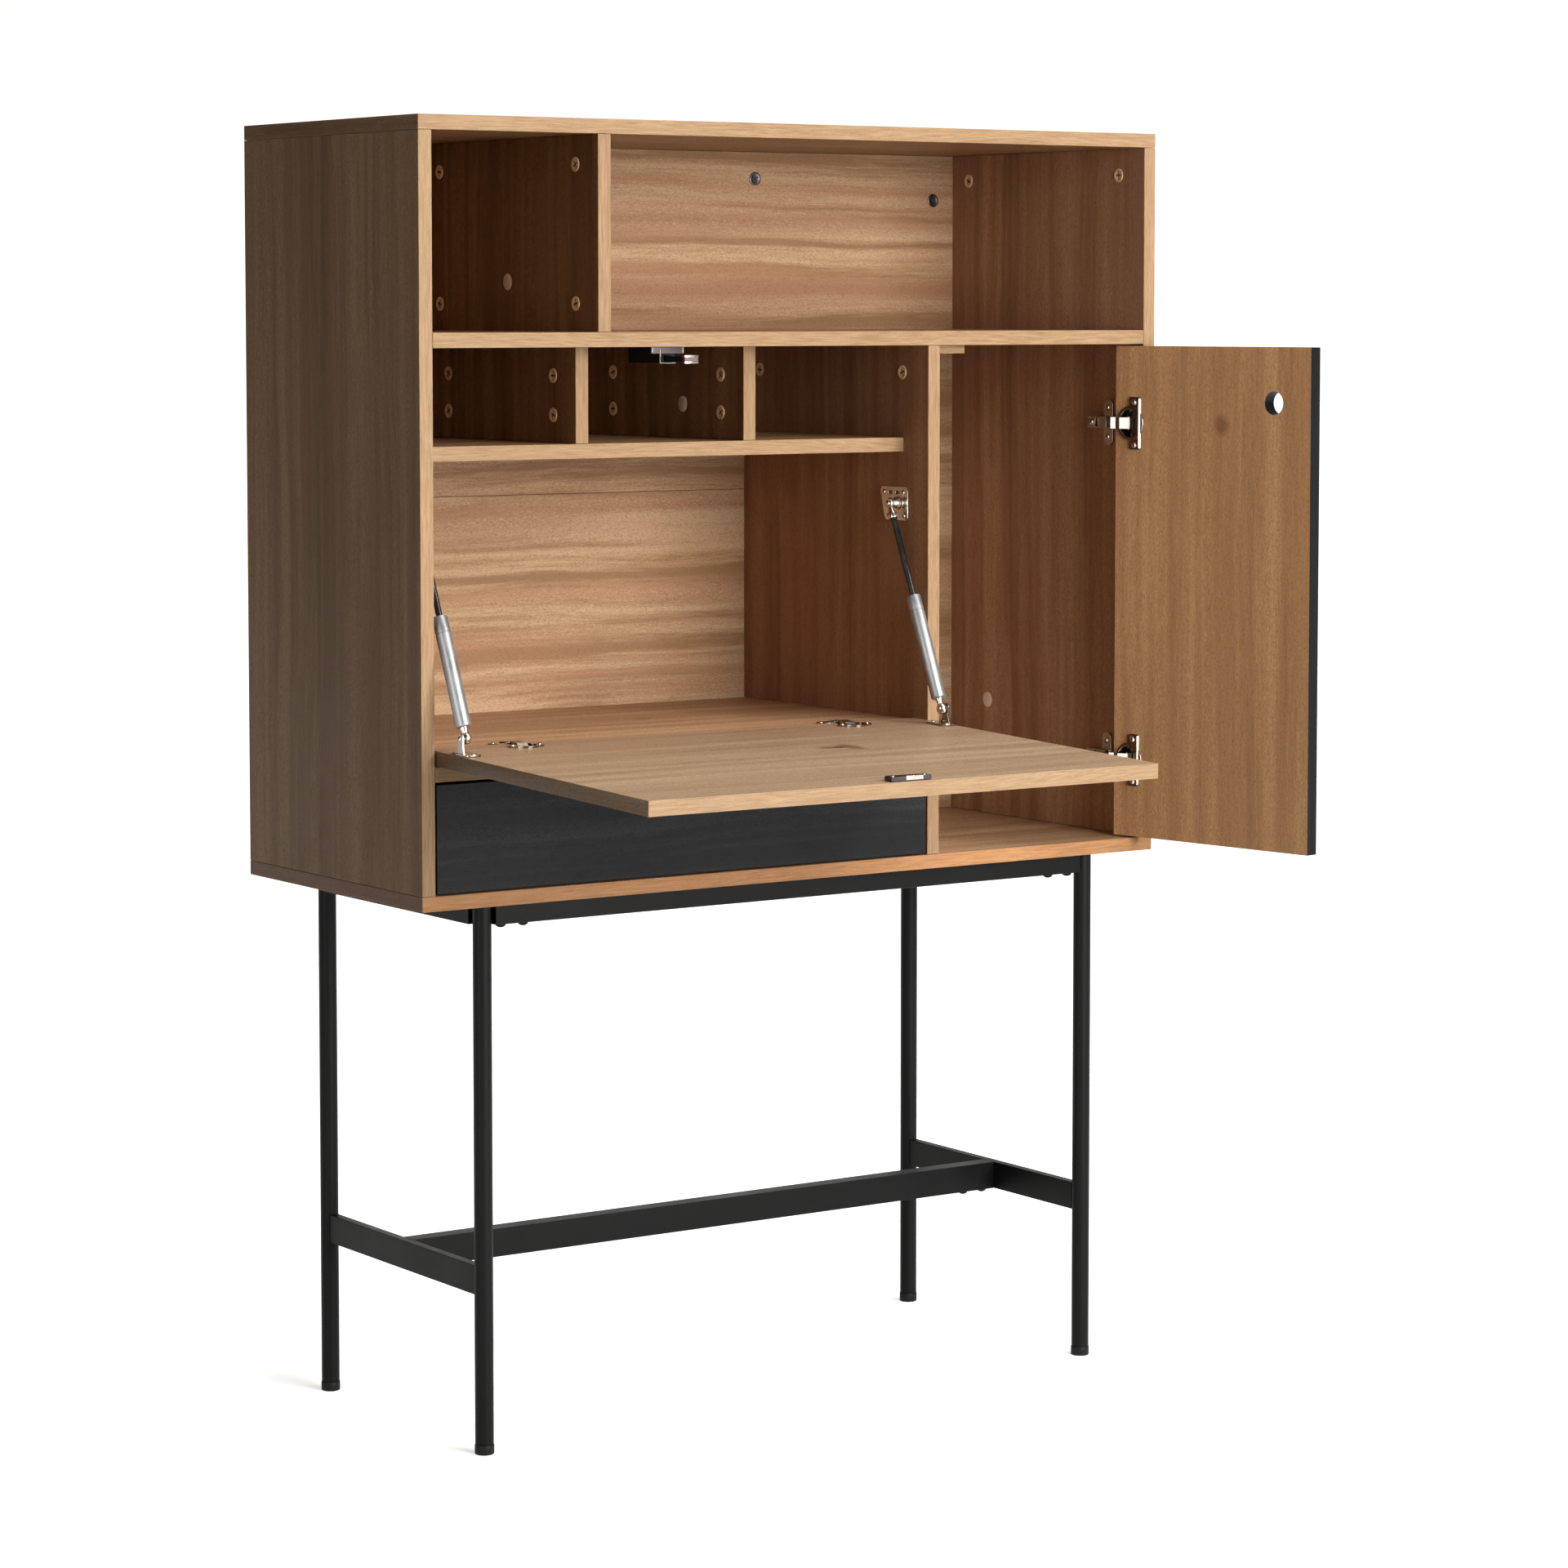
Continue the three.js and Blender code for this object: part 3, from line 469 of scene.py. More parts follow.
def door_wood(name):
    """Brown veneer on the inner face, brightened as painted light, and black stain elsewhere, down into the hole
    and the pockets.
    """
    shade = Shade(name, specular=0.1)
    space = grain_space(shade, "z", "y", 3.1)
    # the inner face's tones are brightened: painted light
    inner, fine, pores = veneer(shade, space, LIT_BROWN_OAK, 0.3, 0.5)
    inner = knot(shade, inner, *DOOR_KNOT, depth=0.6)
    outer = veneer(shade, space, BLACK_OAK, 0.45)[0]
    inward = shade.vector("DOT_PRODUCT", shade.place.outputs["Normal"], DOOR_INWARD)["Value"]
    is_inner = shade.math("GREATER_THAN", inward, 0.95)
    shade.colour(shade.mix(is_inner, outer, inner))
    shade.roughness(shade.range(pores, 0.0, 1.0, 0.42, 0.6))
    grain_bump(shade, fine, pores, 0.35)
    return shade.material


def clouded(shade, base, scale, spread, roughs):
    """Varies a colour and a roughness slightly, as clouds of one scale."""
    cloud = shade.noise(shade.stretched((scale,) * 3), 1.0, 4, 0.6)
    low, high = (tuple(channel * share for channel in base) for share in spread)
    shade.colour(shade.ramp(cloud, [(0.3, low), (0.7, high)]))
    shade.roughness(shade.range(cloud, 0.3, 0.7, *roughs))


def metal(name, base, rough, metallic=1.0):
    """Plated or painted metal with a fine scratched skin."""
    shade = Shade(name, metallic=metallic)
    clouded(shade, base, 60, (0.88, 1.12), (rough * 0.8, rough * 1.25))
    shade.bump(shade.noise(shade.stretched((900, 900, 900)), 1.0, 2), 0.00008, 0.12)
    return shade.material


def coated(name, base, rough, peel=700, specular=0.5):
    """Powder coat, plastic or paper, with a fine orange-peel skin."""
    shade = Shade(name, specular=specular)
    clouded(shade, base, 14, (0.85, 1.18), (rough - 0.04, rough + 0.06))
    shade.bump(shade.noise(shade.stretched((peel, peel, peel)), 1.0, 2), 0.00012, 0.25)
    return shade.material


# -------- mesh building, in millimetres
def to_frame(place):
    """From millimetres off the cabinet's middle, front plane and floor to the frame, by way of place."""
    return place @ Matrix.Translation(at(0, 0, 0)) @ Matrix.Scale(0.001, 4)


def facing(point, direction):
    """A turn and shift that takes +Z to direction, standing on point."""
    turn = Vector(direction).to_track_quat("Z", "Y").to_matrix().to_4x4()
    return Matrix.Translation(Vector(point)) @ turn


def block(low, high):
    """A box between its low corner and its high one."""
    made = bmesh.new()
    bmesh.ops.create_cube(made, size=1)
    low, high = Vector(low), Vector(high)
    made.transform(Matrix.Translation((low + high) / 2) @ Matrix.Diagonal((*(high - low), 1)))
    return made


def turned(profile, place=STAY, segments=48):
    """A body turned about +Z from points of radius and height, closed on the axis or on itself."""
    made = bmesh.new()
    rings = []
    for radius, height in profile:
        if radius == 0:
            rings.append([made.verts.new((0, 0, height))])
            continue
        angles = [2 * math.pi * i / segments for i in range(segments)]
        rings.append([made.verts.new((radius * math.cos(a), radius * math.sin(a), height)) for a in angles])
    pairs = list(zip(rings, rings[1:]))
    if profile[0][0] > 0:
        pairs.append((rings[-1], rings[0]))
    for first, second in pairs:
        for i in range(segments):
            j = (i + 1) % segments
            corners = [first[i % len(first)], first[j % len(first)]]
            corners += [second[j % len(second)], second[i % len(second)]]
            corners = list(dict.fromkeys(corners))
            if len(corners) > 2:
                made.faces.new(corners)
    bmesh.ops.recalc_face_normals(made, faces=made.faces)
    made.transform(place)
    return made


def bar(radius, low, high, place=STAY, segments=48):
    """A plain round bar along +Z."""
    return turned([(0, low), (radius, low), (radius, high), (0, high)], place, segments)


SLAB_AXES = {"x": (1, 2, 0), "y": (0, 2, 1), "z": (0, 1, 2)}


def slab(axis, outline, low, high):
    """A flat outline, its points in the other two axes in order, with thickness along an axis."""
    made = bmesh.new()
    first, second, through = SLAB_AXES[axis]
    sides = []
    for level in (low, high):
        row = []
        for u, v in outline:
            place = [0.0, 0.0, 0.0]
            place[first], place[second], place[through] = u, v, level
            row.append(made.verts.new(place))
        sides.append(row)
    made.faces.new(sides[0])
    made.faces.new(sides[1])
    for i in range(len(outline)):
        j = (i + 1) % len(outline)
        made.faces.new((sides[0][i], sides[0][j], sides[1][j], sides[1][i]))
    bmesh.ops.recalc_face_normals(made, faces=made.faces)
    return made


def arc(centre, radius, start, end, steps=8):
    """Points on an arc between two angles in degrees."""
    points = []
    for i in range(steps + 1):
        angle = math.radians(start + (end - start) * i / steps)
        points.append((centre[0] + radius * math.cos(angle), centre[1] + radius * math.sin(angle)))
    return points


def rounded(u0, u1, v0, v1, radius, steps=6):
    """The outline of a rectangle with round corners."""
    corners = [(u1 - radius, v0 + radius, -90), (u1 - radius, v1 - radius, 0),
               (u0 + radius, v1 - radius, 90), (u0 + radius, v0 + radius, 180)]
    return [point for u, v, start in corners for point in arc((u, v), radius, start, start + 90, steps)]


def mesh_object(shape, name="shape"):
    mesh = bpy.data.meshes.new(name)
    shape.to_mesh(mesh)
    shape.free()
    return linked(name, mesh)


def cut(first, *others):
    """A solid less the others, by exact booleans."""
    base = mesh_object(first)
    tools = [mesh_object(other) for other in others]
    for tool in tools:
        modifier = base.modifiers.new("cut", "BOOLEAN")
        modifier.operation = "DIFFERENCE"
        modifier.solver = "EXACT"
        modifier.object = tool
    graph = bpy.context.evaluated_depsgraph_get()
    result = bmesh.new()
    result.from_mesh(base.evaluated_get(graph).to_mesh())
    for spent in (base, *tools):
        bpy.data.meshes.remove(spent.data)
    bmesh.ops.remove_doubles(result, verts=result.verts, dist=0.001)
    return result


def join(first, *others):
    """Closed shells in one mesh. They may pass through each other, and share no face."""
    for other in others:
        spare = bpy.data.meshes.new("spare")
        other.to_mesh(spare)
        other.free()
        first.from_mesh(spare)
        bpy.data.meshes.remove(spare)
    return first


SHARP = math.radians(38)


def bevel(made, width, sharp):
    """A fine round on the edges sharper than an angle. The width is in metres."""
    modifier = made.modifiers.new("bevel", "BEVEL")
    modifier.width = width
    modifier.segments = 2
    modifier.limit_method = "ANGLE"
    modifier.angle_limit = sharp


def smooth(mesh):
    mesh.polygons.foreach_set("use_smooth", [True] * len(mesh.polygons))
    mesh.set_sharp_from_angle(angle=SHARP)


def piece(name, shape, place, body, finish, edge=0.25, instead_of=None):
    """A shape in millimetres becomes a piece that rides on a body, with its edges rounded by edge."""
    shape.transform(to_frame(place))
    made = mesh_object(shape, name)
    smooth(made.data)
    made.data.materials.append(MATERIALS[finish])
    if edge:
        bevel(made, edge / 1000, SHARP)
    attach(made, body)
    if instead_of:
        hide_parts(instead_of)


def stand_in(node, shape, place, body, finish, edge):
    """A finer piece, shown in place of a CAD node."""
    piece(f"{node}_visual", shape, place, body, finish, edge, node)


def fitted(name, mesh, point, direction, body, spin=0):
    """One of many like pieces, which share a mesh in metres that stands on +Z."""
    made = linked(name, mesh)
    turn = Matrix.Rotation(math.radians(spin), 4, "Z")
    made.matrix_world = facing(point, direction) @ turn
    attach(made, body)


def fitted_row(name, mesh, points, direction, body, spin=0, step=0):
    """Numbered pieces, each spun further than the last by a step in degrees."""
    for i, point in enumerate(points):
        fitted(f"{name}_{i + 1}", mesh, point, direction, body, spin + step * i)


def shared_mesh(name, shape, materials, painted_shade_below=None):
    """A mesh for like pieces. Faces on a recess's floor, below the given height, take the second material: near
    black, painted shade in the recess.
    """
    shape.transform(Matrix.Scale(0.001, 4))
    mesh = bpy.data.meshes.new(name)
    if painted_shade_below is not None:
        for face in shape.faces:
            height = face.calc_center_median().z
            if 0 < height < painted_shade_below / 1000 and abs(face.normal.z) > 0.9:
                face.material_index = 1
    shape.to_mesh(mesh)
    shape.free()
    smooth(mesh)
    for material in materials:
        mesh.materials.append(MATERIALS[material])
    return mesh


def cross(reach, width, floor, top):
    """The two blocks that cut a cross recess."""
    bars = ((reach, width), (width, reach))
    return [block((-x, -y, floor), (x, y, top)) for x, y in bars]


def screw_mesh(name, radius, height):
    """A pan head with a cross recess."""
    profile = [(0, height), (radius * 0.45, height * 0.97), (radius * 0.8, height * 0.72),
               (radius, height * 0.25), (radius, -0.2), (0, -0.2)]
    recess = cross(radius * 0.55, radius * 0.13, height * 0.3, height + 1)
    head = cut(turned(profile, segments=32), *recess)
    return shared_mesh(name, head, ("nickel", "recess"), height * 0.4)


def cam_mesh(finish):
    """The face of a cam lock: a rim, a shallow dish and a cross recess."""
    profile = [(0, 0.72), (5.0, 0.72), (5.5, 0.95), (6.9, 0.95), (7.5, 0.5), (7.5, -0.2), (0, -0.2)]
    face = cut(turned(profile, segments=40), *cross(4.3, 0.95, 0.12, 2))
    return shared_mesh("cam_lock", face, (finish, "recess"), 0.3)


# -------- fittings
BOARD = face_of("top_panel", "z", HIGH) - face_of("top_panel", "z", LOW)
DIVIDER_FACE = face_of("top_bay_divider", "x", LOW)  # the left faces of the uprights
PIGEONHOLE_FACE = face_of("pigeonhole_divider_left", "x", LOW)
SECOND_PIGEONHOLE_FACE = face_of("pigeonhole_divider_right", "x", LOW)
PARTITION_FACE = face_of("centre_partition", "x", LOW)
LEFT_SIDE_FACE = face_of("side_panel_left", "x", HIGH)  # the inner faces of the sides and the back
SIDE_FACE = face_of("side_panel_right", "x", LOW)
BACK_FACE = face_of("back_panel_upper", "y", LOW)
LEFT, RIGHT, FORWARD, UP, DOWN = (-1, 0, 0), (1, 0, 0), (0, -1, 0), (0, 0, 1), (0, 0, -1)
GAP = 0.3  # between a fitting and the board that it is screwed to
FACE = BOARD + GAP  # underside of what is screwed to the inner face of the shut door or flap
CAMS = [
    (LEFT, [(DIVIDER_FACE, y, z) for y, z in ((317, 1294.5), (43, 1295.5), (317, 1155.5), (43, 1155.5))]),
    (LEFT, [(PIGEONHOLE_FACE, y, z) for z in (1082.5, 1042.5) for y in (300, 87.5)]),
    (LEFT, [(SECOND_PIGEONHOLE_FACE, y, z) for z in (1082, 1042.5) for y in (298, 87)]),
    (LEFT, [(PARTITION_FACE, y, 1083) for y in (318, 47)]),
    (LEFT, [(SIDE_FACE, y, 1296) for y in (320, 45)]),
    (RIGHT, [(LEFT_SIDE_FACE, y, 1296) for y in (320, 45)]),
    (FORWARD, [(x, BACK_FACE, z) for x, z in ((170, 1295), (416, 1274))]),
]
STICKERS = [(DIVIDER_FACE, 177.5, 1178), (SECOND_PIGEONHOLE_FACE, 160, 1050), (SIDE_FACE, 281, 703)]


def make_cams():
    """The cam locks' faces, bronze on the uprights and dark on the back."""
    dark, bronze = cam_mesh("dark_metal"), cam_mesh("bronze")
    places = [(direction, point) for direction, points in CAMS for point in points]
    for i, (direction, point) in enumerate(places, 1):
        mesh = dark if direction == FORWARD else bronze
        fitted(f"cam_lock_{i:02d}", mesh, at(*point), direction, "cabinet", 45 + 37 * i)


def make_stickers():
    disc = turned([(0, 0.16), (8.3, 0.16), (8.6, 0.05), (8.6, -0.05), (0, -0.05)], segments=40)
    paper = shared_mesh("blank_sticker", disc, ("paper",))
    fitted_row("blank_sticker", paper, [at(*point) for point in STICKERS], LEFT, "cabinet")


DOOR_CUP = {"x": 422, "radius": 17.2, "rim": 18.8, "wall": 2, "floor": 4.5, "top": 16.9}
DOOR_FLANGE = {"x0": 406.6, "x1": 423.2, "half": 28.5, "top": 16.6, "screw_x": 415.8, "screw_rise": 23.2}
DOOR_LINK_HALF = 6.3
ARM = {"half": 6.4, "side": 433, "screw_y": 75.5}  # side: the side that looks into the cupboard
WING = {"y0": 50.5, "y1": 66.5, "half": 25, "thickness": 2, "screw_y": 59.5, "screw_rise": 16.1}
WING_BACK = SIDE_FACE - GAP
PIN = 1.5


def door_hinge_cup(z):
    """The cup let into the door, its flange with a raised lip, and the link that leaves it."""
    centre = facing((DOOR_CUP["x"], 0, z), (0, 1, 0))
    radius, floor, top, rim_radius = (DOOR_CUP[key] for key in ("radius", "floor", "top", "rim"))
    hollow = radius - DOOR_CUP["wall"]
    cup = turned([(0, floor), (radius, floor), (radius, top - 0.5), (hollow, top - 0.5),
                  (hollow, floor + 1.7), (0, floor + 1.7)], centre, 64)
    rim = turned([(hollow + 0.3, FACE + 0.1), (rim_radius, FACE + 0.1), (rim_radius, top - 0.4),
                  (rim_radius - 0.5, top), (hollow + 0.3, top)], centre, 64)
    x0, x1, half = DOOR_FLANGE["x0"], DOOR_FLANGE["x1"], DOOR_FLANGE["half"]
    strip = slab("y", rounded(x0, x1, z - half, z + half, 3), FACE, DOOR_FLANGE["top"])
    bore = bar(hollow + 0.15, 0, 30, centre, 64)
    outline = [(x0 - 0.3, FACE + 0.05), (x0 - 0.3, FACE + 0.5), (x0 + 1.6, FACE + 3), (x0 + 2.5, FACE + 3),
               (x0 + 2.5, FACE + 0.05)]
    lip = slab("z", outline, z - half + 1.5, z + half - 1.5)
    outline = [(425, 7), (425, 13.4), (434, 18.5), (437, 19.5), *arc((438, 17.5), 2, 100, -60),
               (438, 15.8), (433, 15.6), (430, 12), (430, 7)]
    link = slab("z", outline, z - DOOR_LINK_HALF, z + DOOR_LINK_HALF)
    pin = bar(PIN, -7.2, 7.2, facing((427.5, 12.5, z), UP), 20)
    return join(cut(strip, bore), cup, rim, lip, link, pin)


def door_hinge_arm(z):
    """The cranked arm, its prongs and its slot, on a winged plate on the cabinet's side."""
    wing = slab("x", rounded(WING["y0"], WING["y1"], z - WING["half"], z + WING["half"], 6.5),
                WING_BACK - WING["thickness"], WING_BACK)
    side = ARM["side"]
    outline = [(423.2, 20.8), (424.8, 23.4), (426, 26.2), (437, 26.2), (443, 29), (443, 83.5), (436, 83.5),
               *arc((435.5, 81), 2.5, 90, 180), (side, 50), (438, 49), (438, 41), (428, 34), (423.6, 31),
               (419.7, 25.8)]
    arm = slab("z", outline, z - ARM["half"], z + ARM["half"])
    slot = slab("x", rounded(63.8, 69.4, z - 4.6, z + 4.6, 2), 425, 437)
    fork = block((425, 79.4, z - 3.6), (437.5, 90, z + 3.6))
    washer = bar(4.3, -0.5, 0.5, facing((side, ARM["screw_y"], z), LEFT), 32)
    return join(cut(arm, slot, fork), wing, washer)


def make_door_hinges(screw):
    for level in ("lower", "upper"):
        z = middle_of(f"door_hinge_cup_{level}", "z")
        stand_in(f"door_hinge_cup_{level}", door_hinge_cup(z), ON_DOOR, "door", "hinge_steel", 0.25)
        stand_in(f"door_hinge_arm_{level}", door_hinge_arm(z), STAY, "cabinet", "hinge_steel", 0.3)
        rise = DOOR_FLANGE["screw_rise"]
        points = [ON_DOOR @ at(DOOR_FLANGE["screw_x"], DOOR_FLANGE["top"], z + r) for r in (rise, -rise)]
        fitted_row(f"door_hinge_screw_{level}", screw, points, DOOR_INWARD, "door", 20)
        x, y, rise = WING_BACK - WING["thickness"], WING["screw_y"], WING["screw_rise"]
        points = [at(x, y, z + rise), at(x, y, z - rise), at(ARM["side"] - 0.5, ARM["screw_y"], z)]
        fitted_row(f"door_hinge_wall_screw_{level}", screw, points, LEFT, "cabinet", step=30)


PIVOT_Z = round(pivot_of("flap_hinge").z * 1000, 3)
FLAP_CUP = {"up": 17, "radius": 12.7, "wall": 1.8, "floor": 5.2, "top": 17.1}
EARS = {"half": 20, "width": 8.8, "thickness": 1.6, "screw": 15.6}
DESK_FACE = face_of("desk_surface", "z", HIGH) + GAP
DESK_PLATE_Y = 31.5
FLAP_LINK_HALF = 6


def flap_hinge_cup(x):
    """The cup let into the flap, its ears, and the link that bends round the pivot to the desk."""
    z = PIVOT_Z + FLAP_CUP["up"]
    centre = facing((x, 0, z), (0, 1, 0))
    radius, floor, top = FLAP_CUP["radius"], FLAP_CUP["floor"], FLAP_CUP["top"]
    hollow = radius - FLAP_CUP["wall"]
    half, width = EARS["half"], EARS["width"]
    outline = rounded(x - half, x + half, z - width, z + width, width - 0.1, 8)
    ears = slab("y", outline, FACE, FACE + EARS["thickness"])
    bore = bar(hollow + 0.15, 0, 30, centre, 56)
    cup = turned([(0, floor), (radius, floor), (radius, top - 0.5), (radius + 0.8, top - 0.5),
                  (radius + 0.8, top), (hollow, top), (hollow, floor + 1.5), (0, floor + 1.5)], centre, 56)
    bend = [(8, z), (8, z - 3), (14.5, z - 8.5), (15.5, z - 12), (15.5, PIVOT_Z - 6.6), (18, PIVOT_Z - 6.6),
            (18, z - 8), (11, z - 1), (11, z)]
    link = slab("x", bend, x - FLAP_LINK_HALF, x + FLAP_LINK_HALF)
    pin = bar(PIN, -7.4, 7.4, facing((x, 16.7, PIVOT_Z - 5), RIGHT), 20)
    return join(cut(ears, bore), cup, link, pin)


def flap_hinge_plate(x):
    """The low plate on the desk, dished in the middle, with the nose that the link meets."""
    half, width = EARS["half"], EARS["width"]
    outline = rounded(x - half, x + half, DESK_PLATE_Y - width, DESK_PLATE_Y + width, width - 0.1, 8)
    plate = slab("z", outline, DESK_FACE, DESK_FACE + EARS["thickness"])
    centre = Matrix.Translation((x, DESK_PLATE_Y, DESK_FACE))
    dish = turned([(0, 0.7), (7, 0.7), (8, 1.2), (8, 9), (0, 9)], centre, 40)
    outline = [(22.2, 0.1), (35, 0.1), (35, 2), (32, 3.1), (24, 3.1), (22.2, 2.4)]
    nose = slab("x", outline, x - FLAP_LINK_HALF, x + FLAP_LINK_HALF)
    nose.transform(Matrix.Translation((0, 0, DESK_FACE)))
    return join(cut(plate, dish), nose)


def make_flap_hinges(screw):
    for side in ("left", "right"):
        x = middle_of(f"flap_hinge_plate_{side}", "x")
        stand_in(f"flap_hinge_cup_{side}", flap_hinge_cup(x), ON_FLAP, "flap", "hinge_steel", 0.2)
        stand_in(f"flap_hinge_plate_{side}", flap_hinge_plate(x), STAY, "cabinet", "hinge_steel", 0.2)
        for i, reach in enumerate((-EARS["screw"], EARS["screw"])):
            on_flap = ON_FLAP @ at(x + reach, FACE + EARS["thickness"], PIVOT_Z + FLAP_CUP["up"])
            on_desk = at(x + reach, DESK_PLATE_Y, DESK_FACE + EARS["thickness"])
            fitted(f"flap_hinge_screw_{side}_{i + 1}", screw, on_flap, FLAP_INWARD, "flap", 25 * i)
            fitted(f"flap_hinge_desk_screw_{side}_{i + 1}", screw, on_desk, UP, "cabinet", 40 * i)


# A strut's own millimetres: +Z along it from its foot pivot, +X to the right
EYE = 6.0  # outer radius
EYE_RING = [(2.4, -2.5), (5.4, -2.5), (EYE, -1.6), (EYE, 1.6), (5.4, 2.5), (2.4, 2.5)]
RIVET_HEAD = [(0, -4.4), (2.2, -4.2), (3.3, -3.3), (3.3, -2.7), (2.5, -2.7)]
TUBE = {"radius": 7.75, "foot": 10.8, "groove": 108.2, "mouth": 126.4, "bore": 4.1, "bore_end": 60}
ROD = {"radius": 3.3, "start": 112, "short_of_head": 15}
STRUT_OFF_WALL = 12
WALL_PLATE = {"thickness": 2, "screws": ((77, 955.5), (42, 955.5), (68.5, 930.5), (41, 930.5))}
BRACKET = {"thickness": 1.9, "pivot": (32, 761.5), "ear": (5, 7.4), "screws": (749.2, 773.8)}


def strut_length():
    """From the foot's pivot to the head's. The rod's eye is its highest part."""
    foot = pivot_of("strut_foot_left")
    along = Vector(JOINTS["strut_stroke_left"]["axis"]).normalized()
    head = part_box("strut_rod_left")[HIGH].z - EYE / 1000
    return (head - foot.z) / along.z * 1000


def strut_space(side):
    """Takes a strut's own millimetres to those of at()."""
    along = Vector(JOINTS[f"strut_stroke_{side}"]["axis"]).normalized()
    across = Vector((1, 0, 0))
    turn = Matrix((across, along.cross(across), along)).transposed().to_4x4()
    placed = Matrix.Translation(pivot_of(f"strut_foot_{side}")) @ turn @ Matrix.Scale(0.001, 4)
    return to_frame(STAY).inverted() @ placed


def strut_tube():
    radius, foot, groove, mouth, bore, bore_end = TUBE.values()
    foot_end = [(0, foot), (4.4, foot), (7.1, foot + 0.8), (radius, foot + 2.2)]
    waist = radius - 0.4
    ring = [(radius, groove), (waist, groove + 0.5), (waist, groove + 1.4), (radius, groove + 1.9)]
    mouth_end = [(radius, mouth - 1.8), (7.2, mouth - 0.4), (bore, mouth), (bore, bore_end), (0, bore_end)]
    return turned([*foot_end, *ring, *mouth_end], segments=64)


def strut_foot(outward):
    """The foot's eye, the neck that joins it to the tube, and the rivet through it."""
    neck = turned([(0, 4), (2.9, 4), (3.1, 7), (4.2, 9.5), (4.2, 11.5), (0, 11.5)], segments=32)
    eye = turned(EYE_RING, facing((0, 0, 0), RIGHT), 40)
    rivet = turned([*RIVET_HEAD, (2.5, 4.6), (0, 4.6)], facing((0, 0, 0), (outward, 0, 0)), 32)
    return join(neck, eye, rivet)


def strut_head(length, outward):
    """The socket on the rod's end, its eye, and the stepped pin that holds it to the wall plate."""
    socket = turned([(0, length - 17), (4.7, length - 17), (4.9, length - 16), (4.9, length - 12),
                     (3.4, length - 8), (2.8, length - 4.5), (0, length - 4.5)], segments=32)
    eye = turned(EYE_RING, facing((0, 0, length), RIGHT), 40)
    pin = turned([*RIVET_HEAD, (2.5, 2.6), (4.2, 3.2), (5.4, 7.6), (7.0, 8.4), (7.0, 9.3), (0, 9.3)],
                 facing((0, 0, length), (outward, 0, 0)), 40)
    return join(socket, eye, pin)


def make_strut(side, outward):
    length, space = strut_length(), strut_space(side)
    tube, foot, head = strut_tube(), strut_foot(outward), strut_head(length, outward)
    rod = bar(ROD["radius"], ROD["start"], length - ROD["short_of_head"])
    for shape in (tube, foot, rod, head):
        shape.transform(space)
    stand_in(f"strut_tube_{side}", tube, STAY, f"strut_tube_{side}", "grey_tube", 0)
    piece(f"strut_foot_eye_{side}", foot, STAY, f"strut_tube_{side}", "nickel", 0.15)
    stand_in(f"strut_rod_{side}", rod, STAY, f"strut_rod_{side}", "black_rod", 0)
    piece(f"strut_head_eye_{side}", head, STAY, f"strut_rod_{side}", "nickel", 0.15)


def make_wall_plate(side, wall, outward, screw):
    """The plate on the upright that holds a strut's head."""
    back = wall - outward * GAP
    face = back - outward * WALL_PLATE["thickness"]
    outline = [(37, 925.5), (73, 925.5), (76, 928), (84, 957), (81, 961.5), (37, 961.5), (34, 957), (34, 928)]
    plate = slab("x", outline, *sorted((face, back)))
    slots = [slab("x", rounded(y, y + 7, 953.5, 957, 1.7), wall - 6, wall + 6) for y in (49, 62)]
    stand_in(f"strut_wall_plate_{side}", cut(plate, *slots), STAY, "cabinet", "nickel", 0.4)
    points = [at(face, y, z) for y, z in WALL_PLATE["screws"]]
    fitted_row(f"strut_wall_screw_{side}", screw, points, (-outward, 0, 0), "cabinet", step=33)


def make_flap_bracket(side, wall, outward, screw):
    """The angle on the flap whose upright ear holds a strut's foot."""
    centre = wall - outward * STRUT_OFF_WALL
    top = FACE + BRACKET["thickness"]
    (y, z), ear_sides = BRACKET["pivot"], [centre + outward * reach for reach in BRACKET["ear"]]
    footprint = rounded(*sorted((centre - outward * 9, centre + outward * 8.5)), 744.5, 778.5, 5)
    outline = [(16, z - 7.5), (24, z - 5), *arc((y, z), 5, -80, 80, 12), (24, z + 5), (16, z + 7.5)]
    shape = join(slab("y", footprint, FACE, top), slab("x", outline, *sorted(ear_sides)))
    stand_in(f"strut_flap_bracket_{side}", shape, ON_FLAP, "flap", "hinge_steel", 0.35)
    rivet = ON_FLAP @ at(ear_sides[1], y, z)
    fitted(f"strut_ear_rivet_{side}", screw, rivet, (outward, 0, 0), "flap")
    points = [ON_FLAP @ at(centre - outward * 1.5, top, level) for level in BRACKET["screws"]]
    fitted_row(f"strut_flap_screw_{side}", screw, points, FLAP_INWARD, "flap", step=50)


def make_struts(screw):
    for side, wall, outward in (("left", LEFT_SIDE_FACE, -1), ("right", PARTITION_FACE, 1)):
        make_strut(side, outward)
        make_wall_plate(side, wall, outward, screw)
        make_flap_bracket(side, wall, outward, screw)


